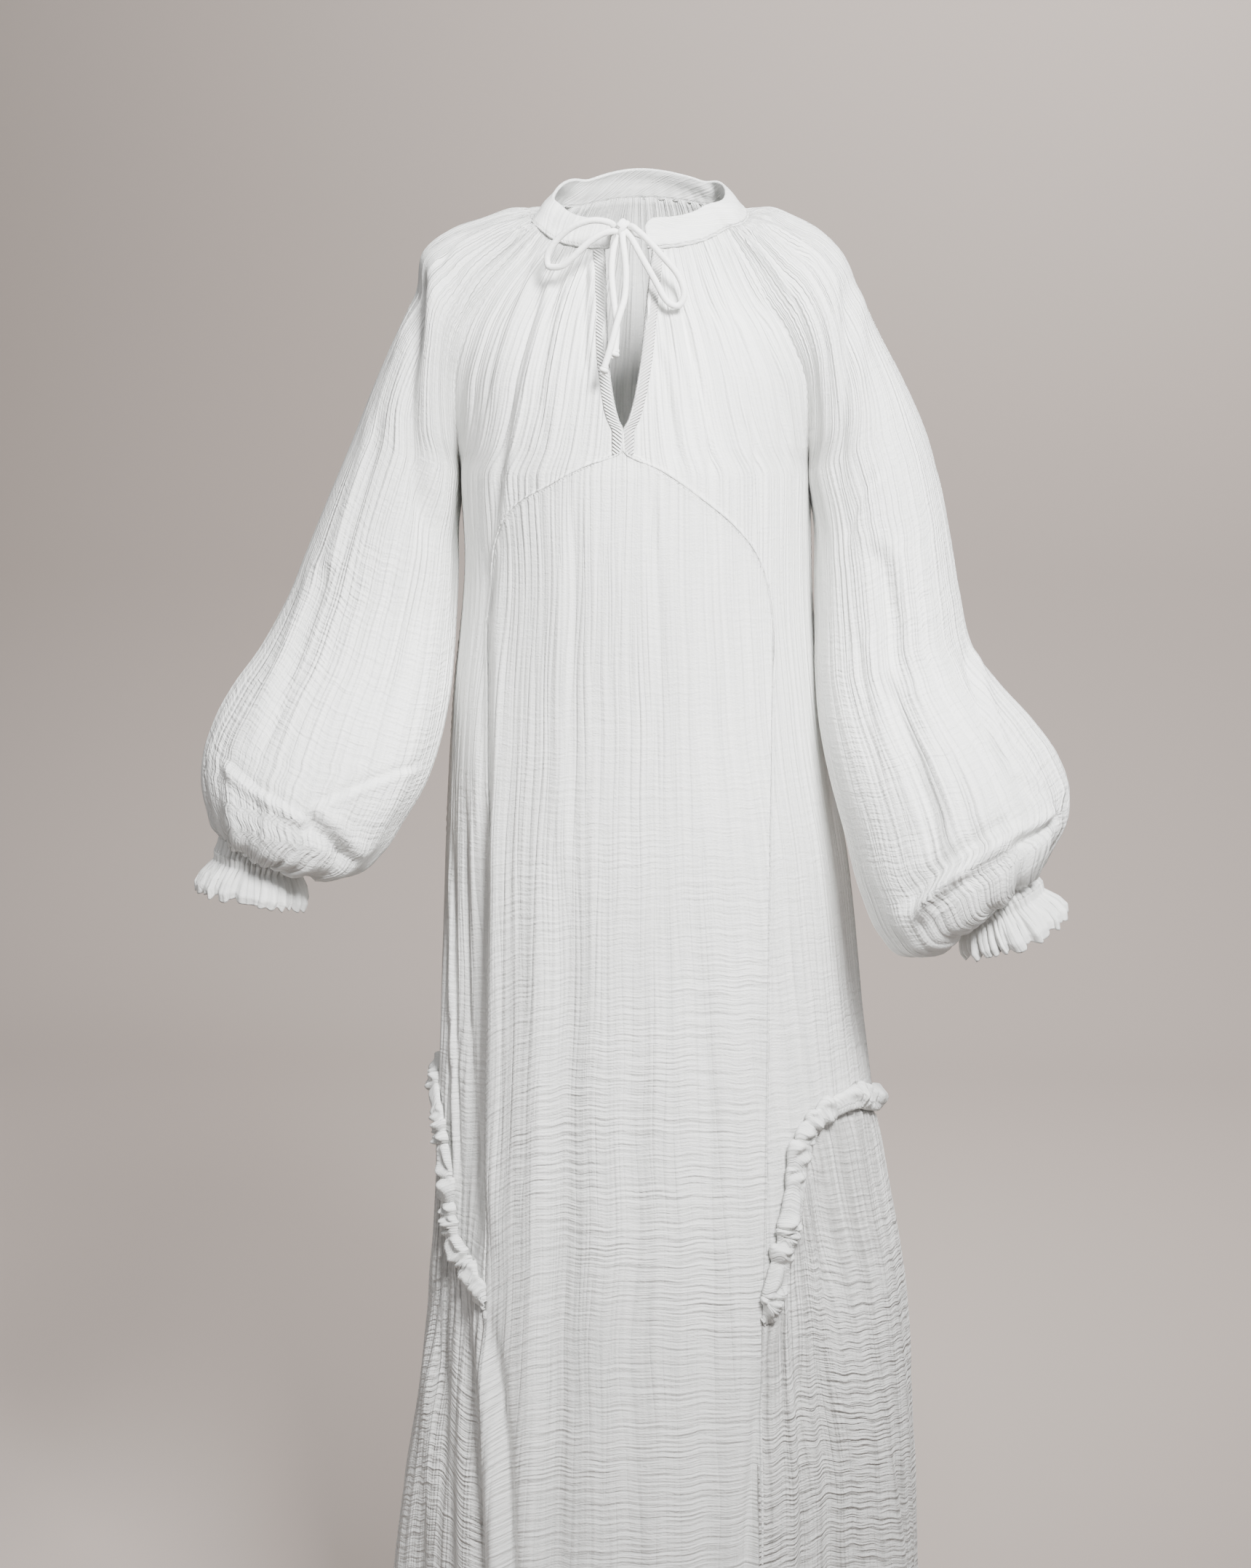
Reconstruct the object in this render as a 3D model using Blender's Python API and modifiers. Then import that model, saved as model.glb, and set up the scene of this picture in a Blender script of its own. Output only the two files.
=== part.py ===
"""Long kaftan dress of crinkled double cotton, in its worn form with no wearer.

Metres, +Z up. The front faces -Y and +X is the wearer's left side. The origin
is the middle of the neck opening, level with the sides of the neck.
"""

import bmesh
import bpy
import numpy as np

# Cloth and gaps
WALL = 0.0014
BAND_WALL = 0.0024
TRIM_WALL = 0.0011
SEAM_GAP = 0.0003
RAGLAN_SETBACK = 0.0008
UNDERARM_SETBACK = 0.0040
UNDERARM_CLEAR = 0.0035

# Levels and widths of the body
NECK_FRONT_Z = -0.035
NECK_BACK_Z = 0.015
UNDERARM_Z = -0.222
SLIT_END_Z = -0.183
ARCH_PEAK_Z = -0.199
ARCH_FOOT_Z = -0.342
FRONT_RUFFLE_Z = -0.932
BACK_CREST_Z = -0.705
HEM_Z = -1.380
PRINCESS_X = 0.121
SLIT_CLOSED = 0.0004

# Trims
BAND_HEIGHT = 0.0270
BAND_LEAN = (10.0, 6.0)
BAND_PAST_SLIT = 0.005
BAND_CLEAR = 0.0026
BINDING_WIDTH = 0.008
CORD_DIAMETER = 0.0054
KNOT_SIZE = (0.0145, 0.0120, 0.0145)
TIP_SIZE = (0.0085, 0.0085, 0.0095)
RUFFLE_WAVES = 32
CUFF_WAVES = 20

# Rows and columns of the pieces
SLIT_ROWS = 6
ARCH_ROWS = 6
PRINCESS_ROWS = 10
RAGLAN_ROWS = 8
RUFFLE_STEPS = 12
HEM_ROWS = 7
SIDE_ROWS = SLIT_ROWS + ARCH_ROWS + PRINCESS_ROWS - RAGLAN_ROWS
BACK_COLUMNS = 16
SLEEVE_COLUMNS = 20
BAND_STEPS = 48


def columns(names, rows):
    """The columns of a table, each under its name."""
    return {name: np.array([row[i] for row in rows]) for i, name in enumerate(names)}


# Sections of the body from the neck to the hem. The widths are half widths on
# each side, the depths run from the middle plane, and an edge is the depth of
# the raglan or side seam. The turn is the part of a quarter ellipse used, in degrees.
BODY = columns(
    ("z", "left", "right", "front", "front_edge", "back", "back_edge", "turn"),
    (
        (0.020, 0.060, 0.047, 0.054, 0.036, 0.064, 0.046, 42.0),
        (0.005, 0.070, 0.058, 0.059, 0.040, 0.068, 0.050, 42.0),
        (-0.018, 0.080, 0.0755, 0.065, 0.046, 0.075, 0.055, 42.0),
        (-0.035, 0.089, 0.088, 0.071, 0.050, 0.080, 0.059, 42.0),
        (-0.075, 0.111, 0.120, 0.090, 0.058, 0.090, 0.061, 44.0),
        (-0.105, 0.131, 0.136, 0.103, 0.059, 0.095, 0.057, 48.0),
        (-0.150, 0.147, 0.148, 0.118, 0.046, 0.100, 0.044, 58.0),
        (-0.195, 0.149, 0.149, 0.127, 0.024, 0.102, 0.022, 76.0),
        (-0.222, 0.149, 0.149, 0.131, 0.000, 0.102, 0.000, 90.0),
        (-0.290, 0.150, 0.146, 0.132, 0.000, 0.099, 0.000, 90.0),
        (-0.420, 0.161, 0.158, 0.128, 0.000, 0.101, 0.000, 90.0),
        (-0.560, 0.187, 0.166, 0.132, 0.000, 0.114, 0.000, 90.0),
        (-0.750, 0.208, 0.171, 0.141, 0.000, 0.132, 0.000, 90.0),
        (-0.950, 0.243, 0.182, 0.158, 0.000, 0.152, 0.000, 90.0),
        (-1.150, 0.256, 0.212, 0.172, 0.000, 0.168, 0.000, 90.0),
        (-1.380, 0.264, 0.232, 0.186, 0.000, 0.186, 0.000, 90.0),
    ),
)

# Half width of the neck slit
SLIT = columns(
    ("z", "half"),
    (
        (NECK_FRONT_Z, 0.0205),
        (-0.075, 0.0175),
        (-0.120, 0.0145),
        (-0.155, 0.0095),
        (-0.174, 0.0045),
        (SLIT_END_Z, SLIT_CLOSED),
        (ARCH_PEAK_Z, SLIT_CLOSED),
    ),
)

# Arched seam over the middle panel, from its peak to the long seams
ARCH = columns(
    ("x", "left_z", "right_z"),
    (
        (SLIT_CLOSED, ARCH_PEAK_Z, ARCH_PEAK_Z),
        (0.030, -0.2140, -0.2110),
        (0.060, -0.2350, -0.2265),
        (0.088, -0.2590, -0.2425),
        (0.105, -0.2810, -0.2660),
        (0.115, -0.3060, -0.3010),
        (PRINCESS_X, ARCH_FOOT_Z, ARCH_FOOT_Z),
    ),
)

# Seam over each flounce: the part of the way from the long seam to the side seam
RUFFLE = columns(
    ("step", "left_way", "left_z", "right_way", "right_z"),
    (
        (0, 0.000, FRONT_RUFFLE_Z, 0.000, FRONT_RUFFLE_Z),
        (1, 0.050, -0.924, 0.110, -0.926),
        (2, 0.080, -0.905, 0.220, -0.918),
        (3, 0.110, -0.882, 0.325, -0.908),
        (4, 0.155, -0.861, 0.410, -0.895),
        (5, 0.190, -0.838, 0.465, -0.877),
        (6, 0.225, -0.814, 0.500, -0.855),
        (7, 0.260, -0.791, 0.532, -0.832),
        (8, 0.320, -0.775, 0.580, -0.810),
        (9, 0.430, -0.766, 0.650, -0.789),
        (10, 0.590, -0.763, 0.750, -0.774),
        (11, 0.790, -0.772, 0.870, -0.763),
        (12, 1.000, -0.782, 1.000, -0.756),
    ),
)

# Top of a sleeve, a row for each ring down to the underarm: the heights of its
# two raglan seams, the outermost point on each side, and the half depth
SLEEVE_HEAD = columns(
    ("front_z", "back_z", "left_x", "left_z", "right_x", "right_z", "depth"),
    (
        (-0.017, 0.005, 0.094, -0.004, 0.0785, -0.001, 0.052),
        (-0.042, -0.022, 0.112, 0.000, 0.104, 0.001, 0.057),
        (-0.066, -0.050, 0.135, -0.007, 0.128, -0.006, 0.062),
        (-0.090, -0.078, 0.157, -0.018, 0.155, -0.015, 0.066),
        (-0.112, -0.105, 0.176, -0.037, 0.178, -0.032, 0.068),
        (-0.140, -0.135, 0.189, -0.065, 0.187, -0.068, 0.069),
        (-0.168, -0.165, 0.205, -0.098, 0.202, -0.100, 0.069),
        (-0.197, -0.195, 0.226, -0.137, 0.221, -0.140, 0.069),
        (UNDERARM_Z, UNDERARM_Z, 0.245, -0.178, 0.241, -0.188, 0.069),
    ),
)

# The rest of a sleeve, a row for each closed ring down to the cuff
LEFT_SLEEVE = columns(
    ("inner_x", "inner_z", "outer_x", "outer_z", "centre_y", "depth"),
    (
        (0.156, -0.262, 0.259, -0.222, -0.004, 0.069),
        (0.157, -0.305, 0.269, -0.268, -0.010, 0.069),
        (0.158, -0.350, 0.278, -0.318, -0.018, 0.070),
        (0.159, -0.392, 0.290, -0.366, -0.030, 0.072),
        (0.163, -0.430, 0.312, -0.395, -0.044, 0.075),
        (0.172, -0.472, 0.338, -0.422, -0.060, 0.079),
        (0.185, -0.517, 0.358, -0.449, -0.076, 0.082),
        (0.199, -0.566, 0.367, -0.479, -0.090, 0.082),
        (0.215, -0.600, 0.363, -0.501, -0.098, 0.078),
        (0.233, -0.616, 0.354, -0.516, -0.103, 0.067),
        (0.254, -0.612, 0.346, -0.529, -0.106, 0.052),
        (0.269, -0.593, 0.341, -0.539, -0.108, 0.039),
        (0.278, -0.574, 0.339, -0.545, -0.110, 0.031),
    ),
)
RIGHT_SLEEVE = columns(
    ("inner_x", "inner_z", "outer_x", "outer_z", "centre_y", "depth"),
    (
        (0.154, -0.262, 0.259, -0.230, -0.004, 0.069),
        (0.154, -0.300, 0.279, -0.278, -0.010, 0.069),
        (0.155, -0.340, 0.300, -0.330, -0.018, 0.070),
        (0.156, -0.376, 0.321, -0.370, -0.030, 0.072),
        (0.158, -0.410, 0.341, -0.400, -0.044, 0.075),
        (0.164, -0.446, 0.354, -0.428, -0.060, 0.079),
        (0.175, -0.481, 0.360, -0.456, -0.076, 0.082),
        (0.192, -0.511, 0.357, -0.481, -0.090, 0.080),
        (0.209, -0.537, 0.350, -0.500, -0.098, 0.074),
        (0.228, -0.553, 0.345, -0.511, -0.103, 0.063),
        (0.247, -0.556, 0.343, -0.517, -0.106, 0.050),
        (0.263, -0.549, 0.342, -0.521, -0.108, 0.039),
        (0.275, -0.539, 0.342, -0.525, -0.110, 0.031),
    ),
)

# Cuff rings below the sleeve: the way along, and what is added to the radius
CUFF = columns(
    ("along", "wider", "wave"),
    (
        (0.0023, -0.0010, 0.0004),
        (0.0090, -0.0015, 0.0006),
        (0.0150, -0.0010, 0.0010),
        (0.0250, 0.0045, 0.0030),
        (0.0360, 0.0090, 0.0045),
    ),
)

# Large folds of the body: where the trough lies, how far it spreads in shares of
# the half width, how deep it is, and the heights between which it fades in and out
FOLDS = columns(
    ("face", "share", "spread", "depth", "top", "bottom"),
    (
        (-1, -0.60, 0.10, 0.0090, -0.45, -1.05),
        (-1, -0.84, 0.10, -0.0040, -0.50, -1.10),
        (-1, 0.88, 0.10, 0.0060, -0.42, -0.74),
        (-1, -0.20, 0.14, 0.0030, -0.70, -1.45),
        (-1, 0.24, 0.16, 0.0035, -0.80, -1.45),
        (1, -0.55, 0.12, 0.0070, -0.40, -1.40),
        (1, 0.05, 0.12, 0.0070, -0.50, -1.45),
        (1, 0.50, 0.12, 0.0065, -0.42, -1.40),
    ),
)

# Gathers, row by row below the seam that holds them: how far the cloth stands
# out of its own surface and back into it
FRONT_GATHERS = (0.0, 0.0022, 0.0020, 0.0013, 0.0008, 0.0004)
BACK_GATHERS = (0.0, 0.0024, 0.0022, 0.0014, 0.0010, 0.0005)
FLOUNCE_GATHERS = (0.0, 0.0025, 0.0015, 0.0008, 0.0005, 0.0003)
SLEEVE_HEAD_GATHERS = (0.0, 0.0020, 0.0022, 0.0015, 0.0008)
SLEEVE_CUFF_GATHERS = (0.0, 0.0018, 0.0032, 0.0032, 0.0020, 0.0008)
FLOUNCE_SWING = 0.010

# The knot of the bow and the routes of the ties, point by point
TIE_KNOT = (-0.0040, -0.0905, -0.0200)
TIE_ROUTES = {
    "tie_root_right": (
        (-0.0168, -0.0683, -0.0229),
        (-0.0160, -0.0722, -0.0216),
        (-0.0138, -0.0760, -0.0208),
        (-0.0117, -0.0812, -0.0202),
        (-0.0105, -0.0853, -0.0200),
    ),
    "tie_root_left": (
        (0.0169, -0.0701, -0.0271),
        (0.0160, -0.0736, -0.0259),
        (0.0122, -0.0775, -0.0252),
        (0.0072, -0.0823, -0.0239),
        (0.0024, -0.0866, -0.0220),
    ),
    "tie_loop_right": (
        (-0.0108, -0.0930, -0.0166),
        (-0.0250, -0.0960, -0.0135),
        (-0.0400, -0.0950, -0.0170),
        (-0.0560, -0.0915, -0.0280),
        (-0.0655, -0.0900, -0.0420),
        (-0.0635, -0.0920, -0.0510),
        (-0.0540, -0.0950, -0.0510),
        (-0.0420, -0.0975, -0.0420),
        (-0.0270, -0.0985, -0.0290),
        (-0.0106, -0.0944, -0.0228),
    ),
    "tie_loop_left": (
        (0.0039, -0.0949, -0.0178),
        (0.0150, -0.0985, -0.0270),
        (0.0300, -0.0995, -0.0430),
        (0.0435, -0.0990, -0.0590),
        (0.0480, -0.0995, -0.0730),
        (0.0425, -0.1010, -0.0830),
        (0.0345, -0.1020, -0.0800),
        (0.0240, -0.1015, -0.0620),
        (0.0110, -0.0980, -0.0400),
        (0.0026, -0.0922, -0.0257),
    ),
    "tie_end_right": (
        (-0.0066, -0.0916, -0.0274),
        (-0.0105, -0.0975, -0.0370),
        (-0.0112, -0.1055, -0.0560),
        (-0.0085, -0.1130, -0.0790),
        (-0.0055, -0.1195, -0.1000),
        (-0.0065, -0.1240, -0.1160),
    ),
    "tie_end_left": (
        (-0.0030, -0.0964, -0.0254),
        (-0.0012, -0.1030, -0.0380),
        (0.0012, -0.1110, -0.0560),
        (0.0010, -0.1170, -0.0740),
        (-0.0040, -0.1262, -0.0930),
        (-0.0085, -0.1318, -0.1120),
        (-0.0135, -0.1338, -0.1290),
    ),
}
TIE_TIPS = {"tie_tip_right": (-0.0068, -0.1252, -0.1208), "tie_tip_left": (-0.0148, -0.1344, -0.1336)}


def smooth(table, key, name, at):
    """A column read along the key column, on a smooth curve that never overshoots."""
    order = np.argsort(table[key])
    x, y = table[key][order], table[name][order]
    step = np.diff(x)
    slope = np.diff(y) / step
    tangent = np.concatenate([slope[:1], np.zeros(len(x) - 2), slope[-1:]])
    product, total = slope[:-1] * slope[1:], slope[:-1] + slope[1:]
    rising = product > 0
    tangent[1:-1][rising] = 2 * product[rising] / total[rising]
    at = np.clip(at, x[0], x[-1])
    i = np.clip(np.searchsorted(x, at, "right") - 1, 0, len(step) - 1)
    t = (at - x[i]) / step[i]
    start = (1 + 2 * t) * (1 - t) ** 2 * y[i] + t * (1 - t) ** 2 * step[i] * tangent[i]
    end = t * t * (3 - 2 * t) * y[i + 1] - t * t * (1 - t) * step[i] * tangent[i + 1]
    return start + end


def eased(t):
    """0 up to 1 with a soft start and end."""
    t = np.clip(t, 0.0, 1.0)
    return t * t * (3 - 2 * t)


def unit(vectors):
    return vectors / np.maximum(np.linalg.norm(vectors, axis=-1, keepdims=True), 1e-9)


def fold_offset(share, z, face):
    """How far the large folds move the body outwards."""
    total = np.zeros(np.broadcast(share, z, face).shape)
    for row in range(len(FOLDS["share"])):
        fold = {name: column[row] for name, column in FOLDS.items()}
        across = np.exp(-(((share - fold["share"]) / fold["spread"]) ** 2))
        length = fold["top"] - fold["bottom"]
        fade = eased((fold["top"] - z) / (0.4 * length)) * eased((z - fold["bottom"]) / (0.3 * length))
        total -= np.where(face == fold["face"], fold["depth"] * across * fade, 0.0)
    return total


def body_surface(share, z, face):
    """Points and outward directions of the body.

    A share runs from -1 at the right side seam, over 0 in the middle, to 1 at the
    left side seam. The face is -1 in front and 1 behind.
    """
    share, z, face = np.broadcast_arrays(np.asarray(share, float), z, face)
    half = np.where(share > 0, smooth(BODY, "z", "left", z), smooth(BODY, "z", "right", z))
    depth = np.where(face < 0, smooth(BODY, "z", "front", z), smooth(BODY, "z", "back", z))
    edge = np.where(face < 0, smooth(BODY, "z", "front_edge", z), smooth(BODY, "z", "back_edge", z))
    turn = np.radians(smooth(BODY, "z", "turn", z))
    wide = half / np.sin(turn)
    deep = (depth - edge) / (1 - np.cos(turn))
    angle = share * turn
    x = wide * np.sin(angle)
    y = face * (edge + deep * (np.cos(angle) - np.cos(turn)))
    outward = unit(np.stack([deep * np.sin(angle), face * wide * np.cos(angle), 0 * z], -1))
    points = np.stack([x, y, z], -1) + outward * fold_offset(share, z, face)[..., None]
    return points, outward


def share_at(x, z, side):
    """The signed share at a distance from the middle."""
    half = smooth(BODY, "z", "left" if side > 0 else "right", z)
    turn = np.radians(smooth(BODY, "z", "turn", z))
    return side * np.arcsin(np.clip(x / half * np.sin(turn), 0, 1)) / turn


def between(start, end, steps):
    return np.linspace(start, end, steps + 1)


# Heights of the rows along each seam
SLIT_Z = np.concatenate([between(NECK_FRONT_Z, -0.155, 3), [-0.174, SLIT_END_Z, ARCH_PEAK_Z]])
PRINCESS_Z = between(ARCH_FOOT_Z, FRONT_RUFFLE_Z, PRINCESS_ROWS)
HEM_ROW_Z = between(FRONT_RUFFLE_Z, HEM_Z, HEM_ROWS)


def ruffle_seam(side):
    """Parts of the way and heights of the seam over one flounce."""
    name = "left" if side > 0 else "right"
    return RUFFLE[name + "_way"], RUFFLE[name + "_z"]


def side_heights(side):
    """Heights of the rows along a side seam, below the underarm."""
    return between(UNDERARM_Z, ruffle_seam(side)[1][-1], SIDE_ROWS)[1:]


def front_inner_edge(side):
    """Slit, arch and long seam down to the ruffle, as shares and heights."""
    slit_x = smooth(SLIT, "z", "half", SLIT_Z)
    x = np.concatenate([slit_x, ARCH["x"][1:], np.full(PRINCESS_ROWS, PRINCESS_X)])
    arch_z = ARCH["left_z" if side > 0 else "right_z"]
    z = np.concatenate([SLIT_Z, arch_z[1:], PRINCESS_Z[1:]])
    return share_at(x, z, side), z


def draw_in(points, edge, amount):
    """Moves one edge of a grid of points into its own piece, square to the seam."""
    across = points.transpose(1, 0, 2)
    view = {"top": points, "bottom": points[::-1], "left": across, "right": across[::-1]}[edge]
    line = view[0].copy()
    along = unit(np.gradient(line, axis=0))
    inward = view[1] - line
    inward -= (inward * along).sum(-1, keepdims=True) * along
    view[0] = line + unit(inward) * amount


def zigzag(count):
    """One fold to every second column, none at the two edges."""
    waves = np.where(np.arange(count) % 2, 1.0, -1.0)
    waves[[0, 1, -2, -1]] *= (0, 0.4, 0.4, 0)
    return waves


def rows_of(amounts, rows):
    """Amounts for the first rows of a grid of points, and none for the rest."""
    return np.array(amounts + (0.0,) * (rows - len(amounts)))[:, None, None]


def front_points(side):
    """Side front: gathered at the neck, down to the ruffle."""
    inner_share, inner_z = front_inner_edge(side)
    outer_z = np.concatenate([SLEEVE_HEAD["front_z"], side_heights(side)])
    seam_way, seam_z = ruffle_seam(side)
    u = between(0.0, 1.0, RUFFLE_STEPS)
    low = eased(between(-0.6, 1.0, len(inner_z) - 1))[:, None]
    top = eased(1 - between(0.0, 4.0, len(inner_z) - 1))[:, None]
    ruffle_rise = (seam_z - FRONT_RUFFLE_Z) / (seam_z[-1] - FRONT_RUFFLE_Z)
    way = low * seam_way + (1 - low) * u
    rise = low * ruffle_rise + (1 - low) * (top * u**2 + (1 - top) * u)
    share = inner_share[:, None] + (side - inner_share[:, None]) * way
    z = inner_z[:, None] + (outer_z - inner_z)[:, None] * rise
    points, outward = body_surface(share, z, -1)
    waves = zigzag(len(u))
    waves[1:3] = (0, 0.5)
    points += outward * rows_of(FRONT_GATHERS, len(points)) * waves[:, None]
    for edge in ("top", "left", "bottom", "right"):
        draw_in(points, edge, SEAM_GAP / 2)
    return points


def panel_points():
    """Middle front from one long seam to the other, from the arch to the hem."""
    arch_x = np.concatenate([-ARCH["x"][:0:-1], [0.0], ARCH["x"][1:]])
    arch_z = np.concatenate([ARCH["right_z"][::-1], ARCH["left_z"][1:]])
    seam_z = np.concatenate([PRINCESS_Z, HEM_ROW_Z[1:]])
    low = (seam_z - seam_z[0]) / (HEM_Z - seam_z[0])
    z = seam_z[:, None] + (arch_z - arch_z[0]) * (1 - eased(2.2 * low))[:, None]
    even = between(-1.0, 1.0, 2 * ARCH_ROWS)
    spread = eased(1.6 * low)[:, None]
    part = spread * even + (1 - spread) * arch_x / PRINCESS_X
    x = PRINCESS_X * part
    share = np.where(x < 0, share_at(np.abs(x), z, -1), share_at(np.abs(x), z, 1))
    points, _ = body_surface(share, z, -1)
    for edge in ("top", "left", "right"):
        draw_in(points, edge, SEAM_GAP / 2)
    return points


def ruffle_shares(side):
    """Shares and heights of the seam over a flounce, from the long seam to the side."""
    start = share_at(PRINCESS_X, FRONT_RUFFLE_Z, side)
    seam_way, seam_z = ruffle_seam(side)
    return start + (side - start) * seam_way, seam_z


def back_points():
    """Back: neck, raglan seams, side seams, the cut-outs over the flounces, hem."""
    edges = {}
    edge_z = {}
    for side in (-1, 1):
        cut_share, cut_z = ruffle_shares(side)
        straight = np.full(RAGLAN_ROWS + SIDE_ROWS + 1, float(side))
        hem_share = share_at(PRINCESS_X, HEM_ROW_Z[1:], side)
        edges[side] = np.concatenate([straight, cut_share[-2::-1], hem_share])
        heights = (SLEEVE_HEAD["back_z"], side_heights(side), cut_z[-2::-1], HEM_ROW_Z[1:])
        edge_z[side] = np.concatenate(heights)
    upper = RAGLAN_ROWS + SIDE_ROWS
    middle_z = edge_z[1].copy()
    middle_z[: RAGLAN_ROWS + 1] = between(NECK_BACK_Z, UNDERARM_Z, RAGLAN_ROWS)
    middle_z[RAGLAN_ROWS : upper + 1] = between(UNDERARM_Z, BACK_CREST_Z, SIDE_ROWS)
    middle_z[upper : upper + RUFFLE_STEPS + 1] = between(BACK_CREST_Z, FRONT_RUFFLE_Z, RUFFLE_STEPS)
    u = between(-1.0, 1.0, BACK_COLUMNS)
    share = np.where(u < 0, -edges[-1][:, None] * u, edges[1][:, None] * u)
    side_z = np.where(u < 0, edge_z[-1][:, None], edge_z[1][:, None])
    z = middle_z[:, None] + (side_z - middle_z[:, None]) * u**2
    points, outward = body_surface(share, z, 1)
    points += outward * rows_of(BACK_GATHERS, len(points)) * zigzag(len(u))[:, None]
    for edge in ("top", "left", "right"):
        draw_in(points, edge, SEAM_GAP / 2)
    return points


def inset_points(side):
    """Flounce at one side, from the front long seam round to the back one."""
    cut_share, cut_z = ruffle_shares(side)
    seam_way, _ = ruffle_seam(side)
    way = np.concatenate([seam_way, seam_way[-2::-1]])
    even = 1 - np.abs(between(-1.0, 1.0, 2 * RUFFLE_STEPS))
    top_z = np.concatenate([cut_z, cut_z[-2::-1]])
    face = np.where(np.arange(len(way)) <= RUFFLE_STEPS, -1, 1)
    down = (HEM_ROW_Z - FRONT_RUFFLE_Z)[:, None] / (HEM_Z - FRONT_RUFFLE_Z)
    spread = eased(1.2 * down)
    seam_share = share_at(PRINCESS_X, HEM_ROW_Z, side)[:, None]
    share = seam_share + (side - seam_share) * (spread * even + (1 - spread) * way)
    z = top_z + (HEM_Z - top_z) * down
    points, outward = body_surface(share, z, face)
    points += outward * rows_of(FLOUNCE_GATHERS, len(points)) * zigzag(len(way))[:, None]
    swing = np.sin(np.pi * even) ** 2 * np.cos(3 * np.pi * even)
    points += outward * (FLOUNCE_SWING * spread * swing)[..., None]
    draw_in(points, "top", SEAM_GAP)
    for edge in ("left", "right"):
        draw_in(points, edge, SEAM_GAP / 2)
    return points


def sleeve_rings(side):
    """Seam points, outermost points and half depths of a sleeve's rings."""
    ones = np.full(RAGLAN_ROWS + 1, float(side))
    front, _ = body_surface(ones, SLEEVE_HEAD["front_z"], -1)
    back, _ = body_surface(ones, SLEEVE_HEAD["back_z"], 1)
    name = "left" if side > 0 else "right"
    top = np.stack(
        [side * SLEEVE_HEAD[name + "_x"], np.zeros(RAGLAN_ROWS + 1), SLEEVE_HEAD[name + "_z"]], -1
    )
    lower = LEFT_SLEEVE if side > 0 else RIGHT_SLEEVE
    inner = np.stack([side * lower["inner_x"], lower["centre_y"], lower["inner_z"]], -1)
    outer = np.stack([side * lower["outer_x"], lower["centre_y"], lower["outer_z"]], -1)
    depth = np.concatenate([SLEEVE_HEAD["depth"], lower["depth"]])
    return np.vstack([front, inner]), np.vstack([back, inner]), np.vstack([top, outer]), depth


def sleeve_points(side):
    """Raglan sleeve: open rings down to the underarm, then closed ones to the cuff."""
    front, back, top, depth = sleeve_rings(side)
    middle, half = (front + back) / 2, (back - front) / 2
    spread = np.linalg.norm(half, axis=-1)
    past = np.arccos(np.clip(spread / depth, 0, 1))[:, None, None]
    across = np.where(spread[:, None] > 1e-6, unit(half), (0.0, 1.0, 0.0)) * depth[:, None]
    centre = (middle + top * np.sin(past[:, 0])) / (1 + np.sin(past[:, 0]))
    angle = -past[:, :, 0] + (np.pi + 2 * past[:, :, 0]) * between(0, 1, SLEEVE_COLUMNS)
    angle = angle[..., None]
    rise = (top - centre)[:, None, :]
    points = centre[:, None, :] + rise * np.sin(angle) - across[:, None, :] * np.cos(angle)
    outward = unit(points - centre[:, None, :])
    ring_waves = np.where(np.arange(SLEEVE_COLUMNS + 1) % 2, 1.0, -1.0)
    ring_waves[[0, -1]] = -1.0
    points += outward * rows_of(SLEEVE_HEAD_GATHERS, len(points)) * zigzag(SLEEVE_COLUMNS + 1)[:, None]
    points += outward * rows_of(SLEEVE_CUFF_GATHERS, len(points))[::-1] * ring_waves[:, None]
    return points


def sleeve_setback(points, side):
    """Pulls a sleeve back from the raglan seams, more where the seam turns sharply."""
    head = points[: RAGLAN_ROWS + 1]
    amount = (RAGLAN_SETBACK + UNDERARM_SETBACK * eased(between(-0.3, 1.0, RAGLAN_ROWS)))[:, None]
    draw_in(head, "left", amount)
    draw_in(head, "right", amount)
    underarm = (head[-1, 0] + head[-1, -1]) / 2 + (side * UNDERARM_CLEAR, 0, 0)
    head[-1, 0] = head[-1, -1] = underarm
    draw_in(points, "top", SEAM_GAP / 2)
    return points


def cuff_points(side):
    """Elastic casing and its frill, below the last ring of the sleeve."""
    front, _, top, depth = sleeve_rings(side)
    centre = (front[-1] + top[-1]) / 2
    rise = top[-1] - centre
    away = -side * unit(np.cross(rise, (0.0, 1.0, 0.0)))
    turns = between(0, 2 * np.pi, 2 * CUFF_WAVES)
    waves = np.where(np.arange(len(turns)) % 2, 1.0, -1.0)
    rings = []
    for along, wider, wave in zip(CUFF["along"], CUFF["wider"], CUFF["wave"]):
        reach = 1 + (wider + wave * waves)[:, None] / depth[-1]
        ring = rise * np.sin(turns)[:, None] - np.outer(np.cos(turns), (0, depth[-1], 0))
        rings.append(centre + away * along + ring * reach)
    return np.array(rings)


def collection_named(name):
    made = bpy.data.collections.new(name)
    bpy.context.scene.collection.children.link(made)
    return made


def cotton(name, colour, roughness):
    material = bpy.data.materials.new(name)
    material.use_nodes = True
    shader = material.node_tree.nodes["Principled BSDF"]
    shader.inputs["Base Color"].default_value = (*colour, 1.0)
    shader.inputs["Roughness"].default_value = roughness
    shader.inputs["Metallic"].default_value = 0.0
    return material


def place(obj, material):
    for other in obj.users_collection:
        other.objects.unlink(obj)
    DRESS.objects.link(obj)
    obj.data.materials.append(material)
    return obj


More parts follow.
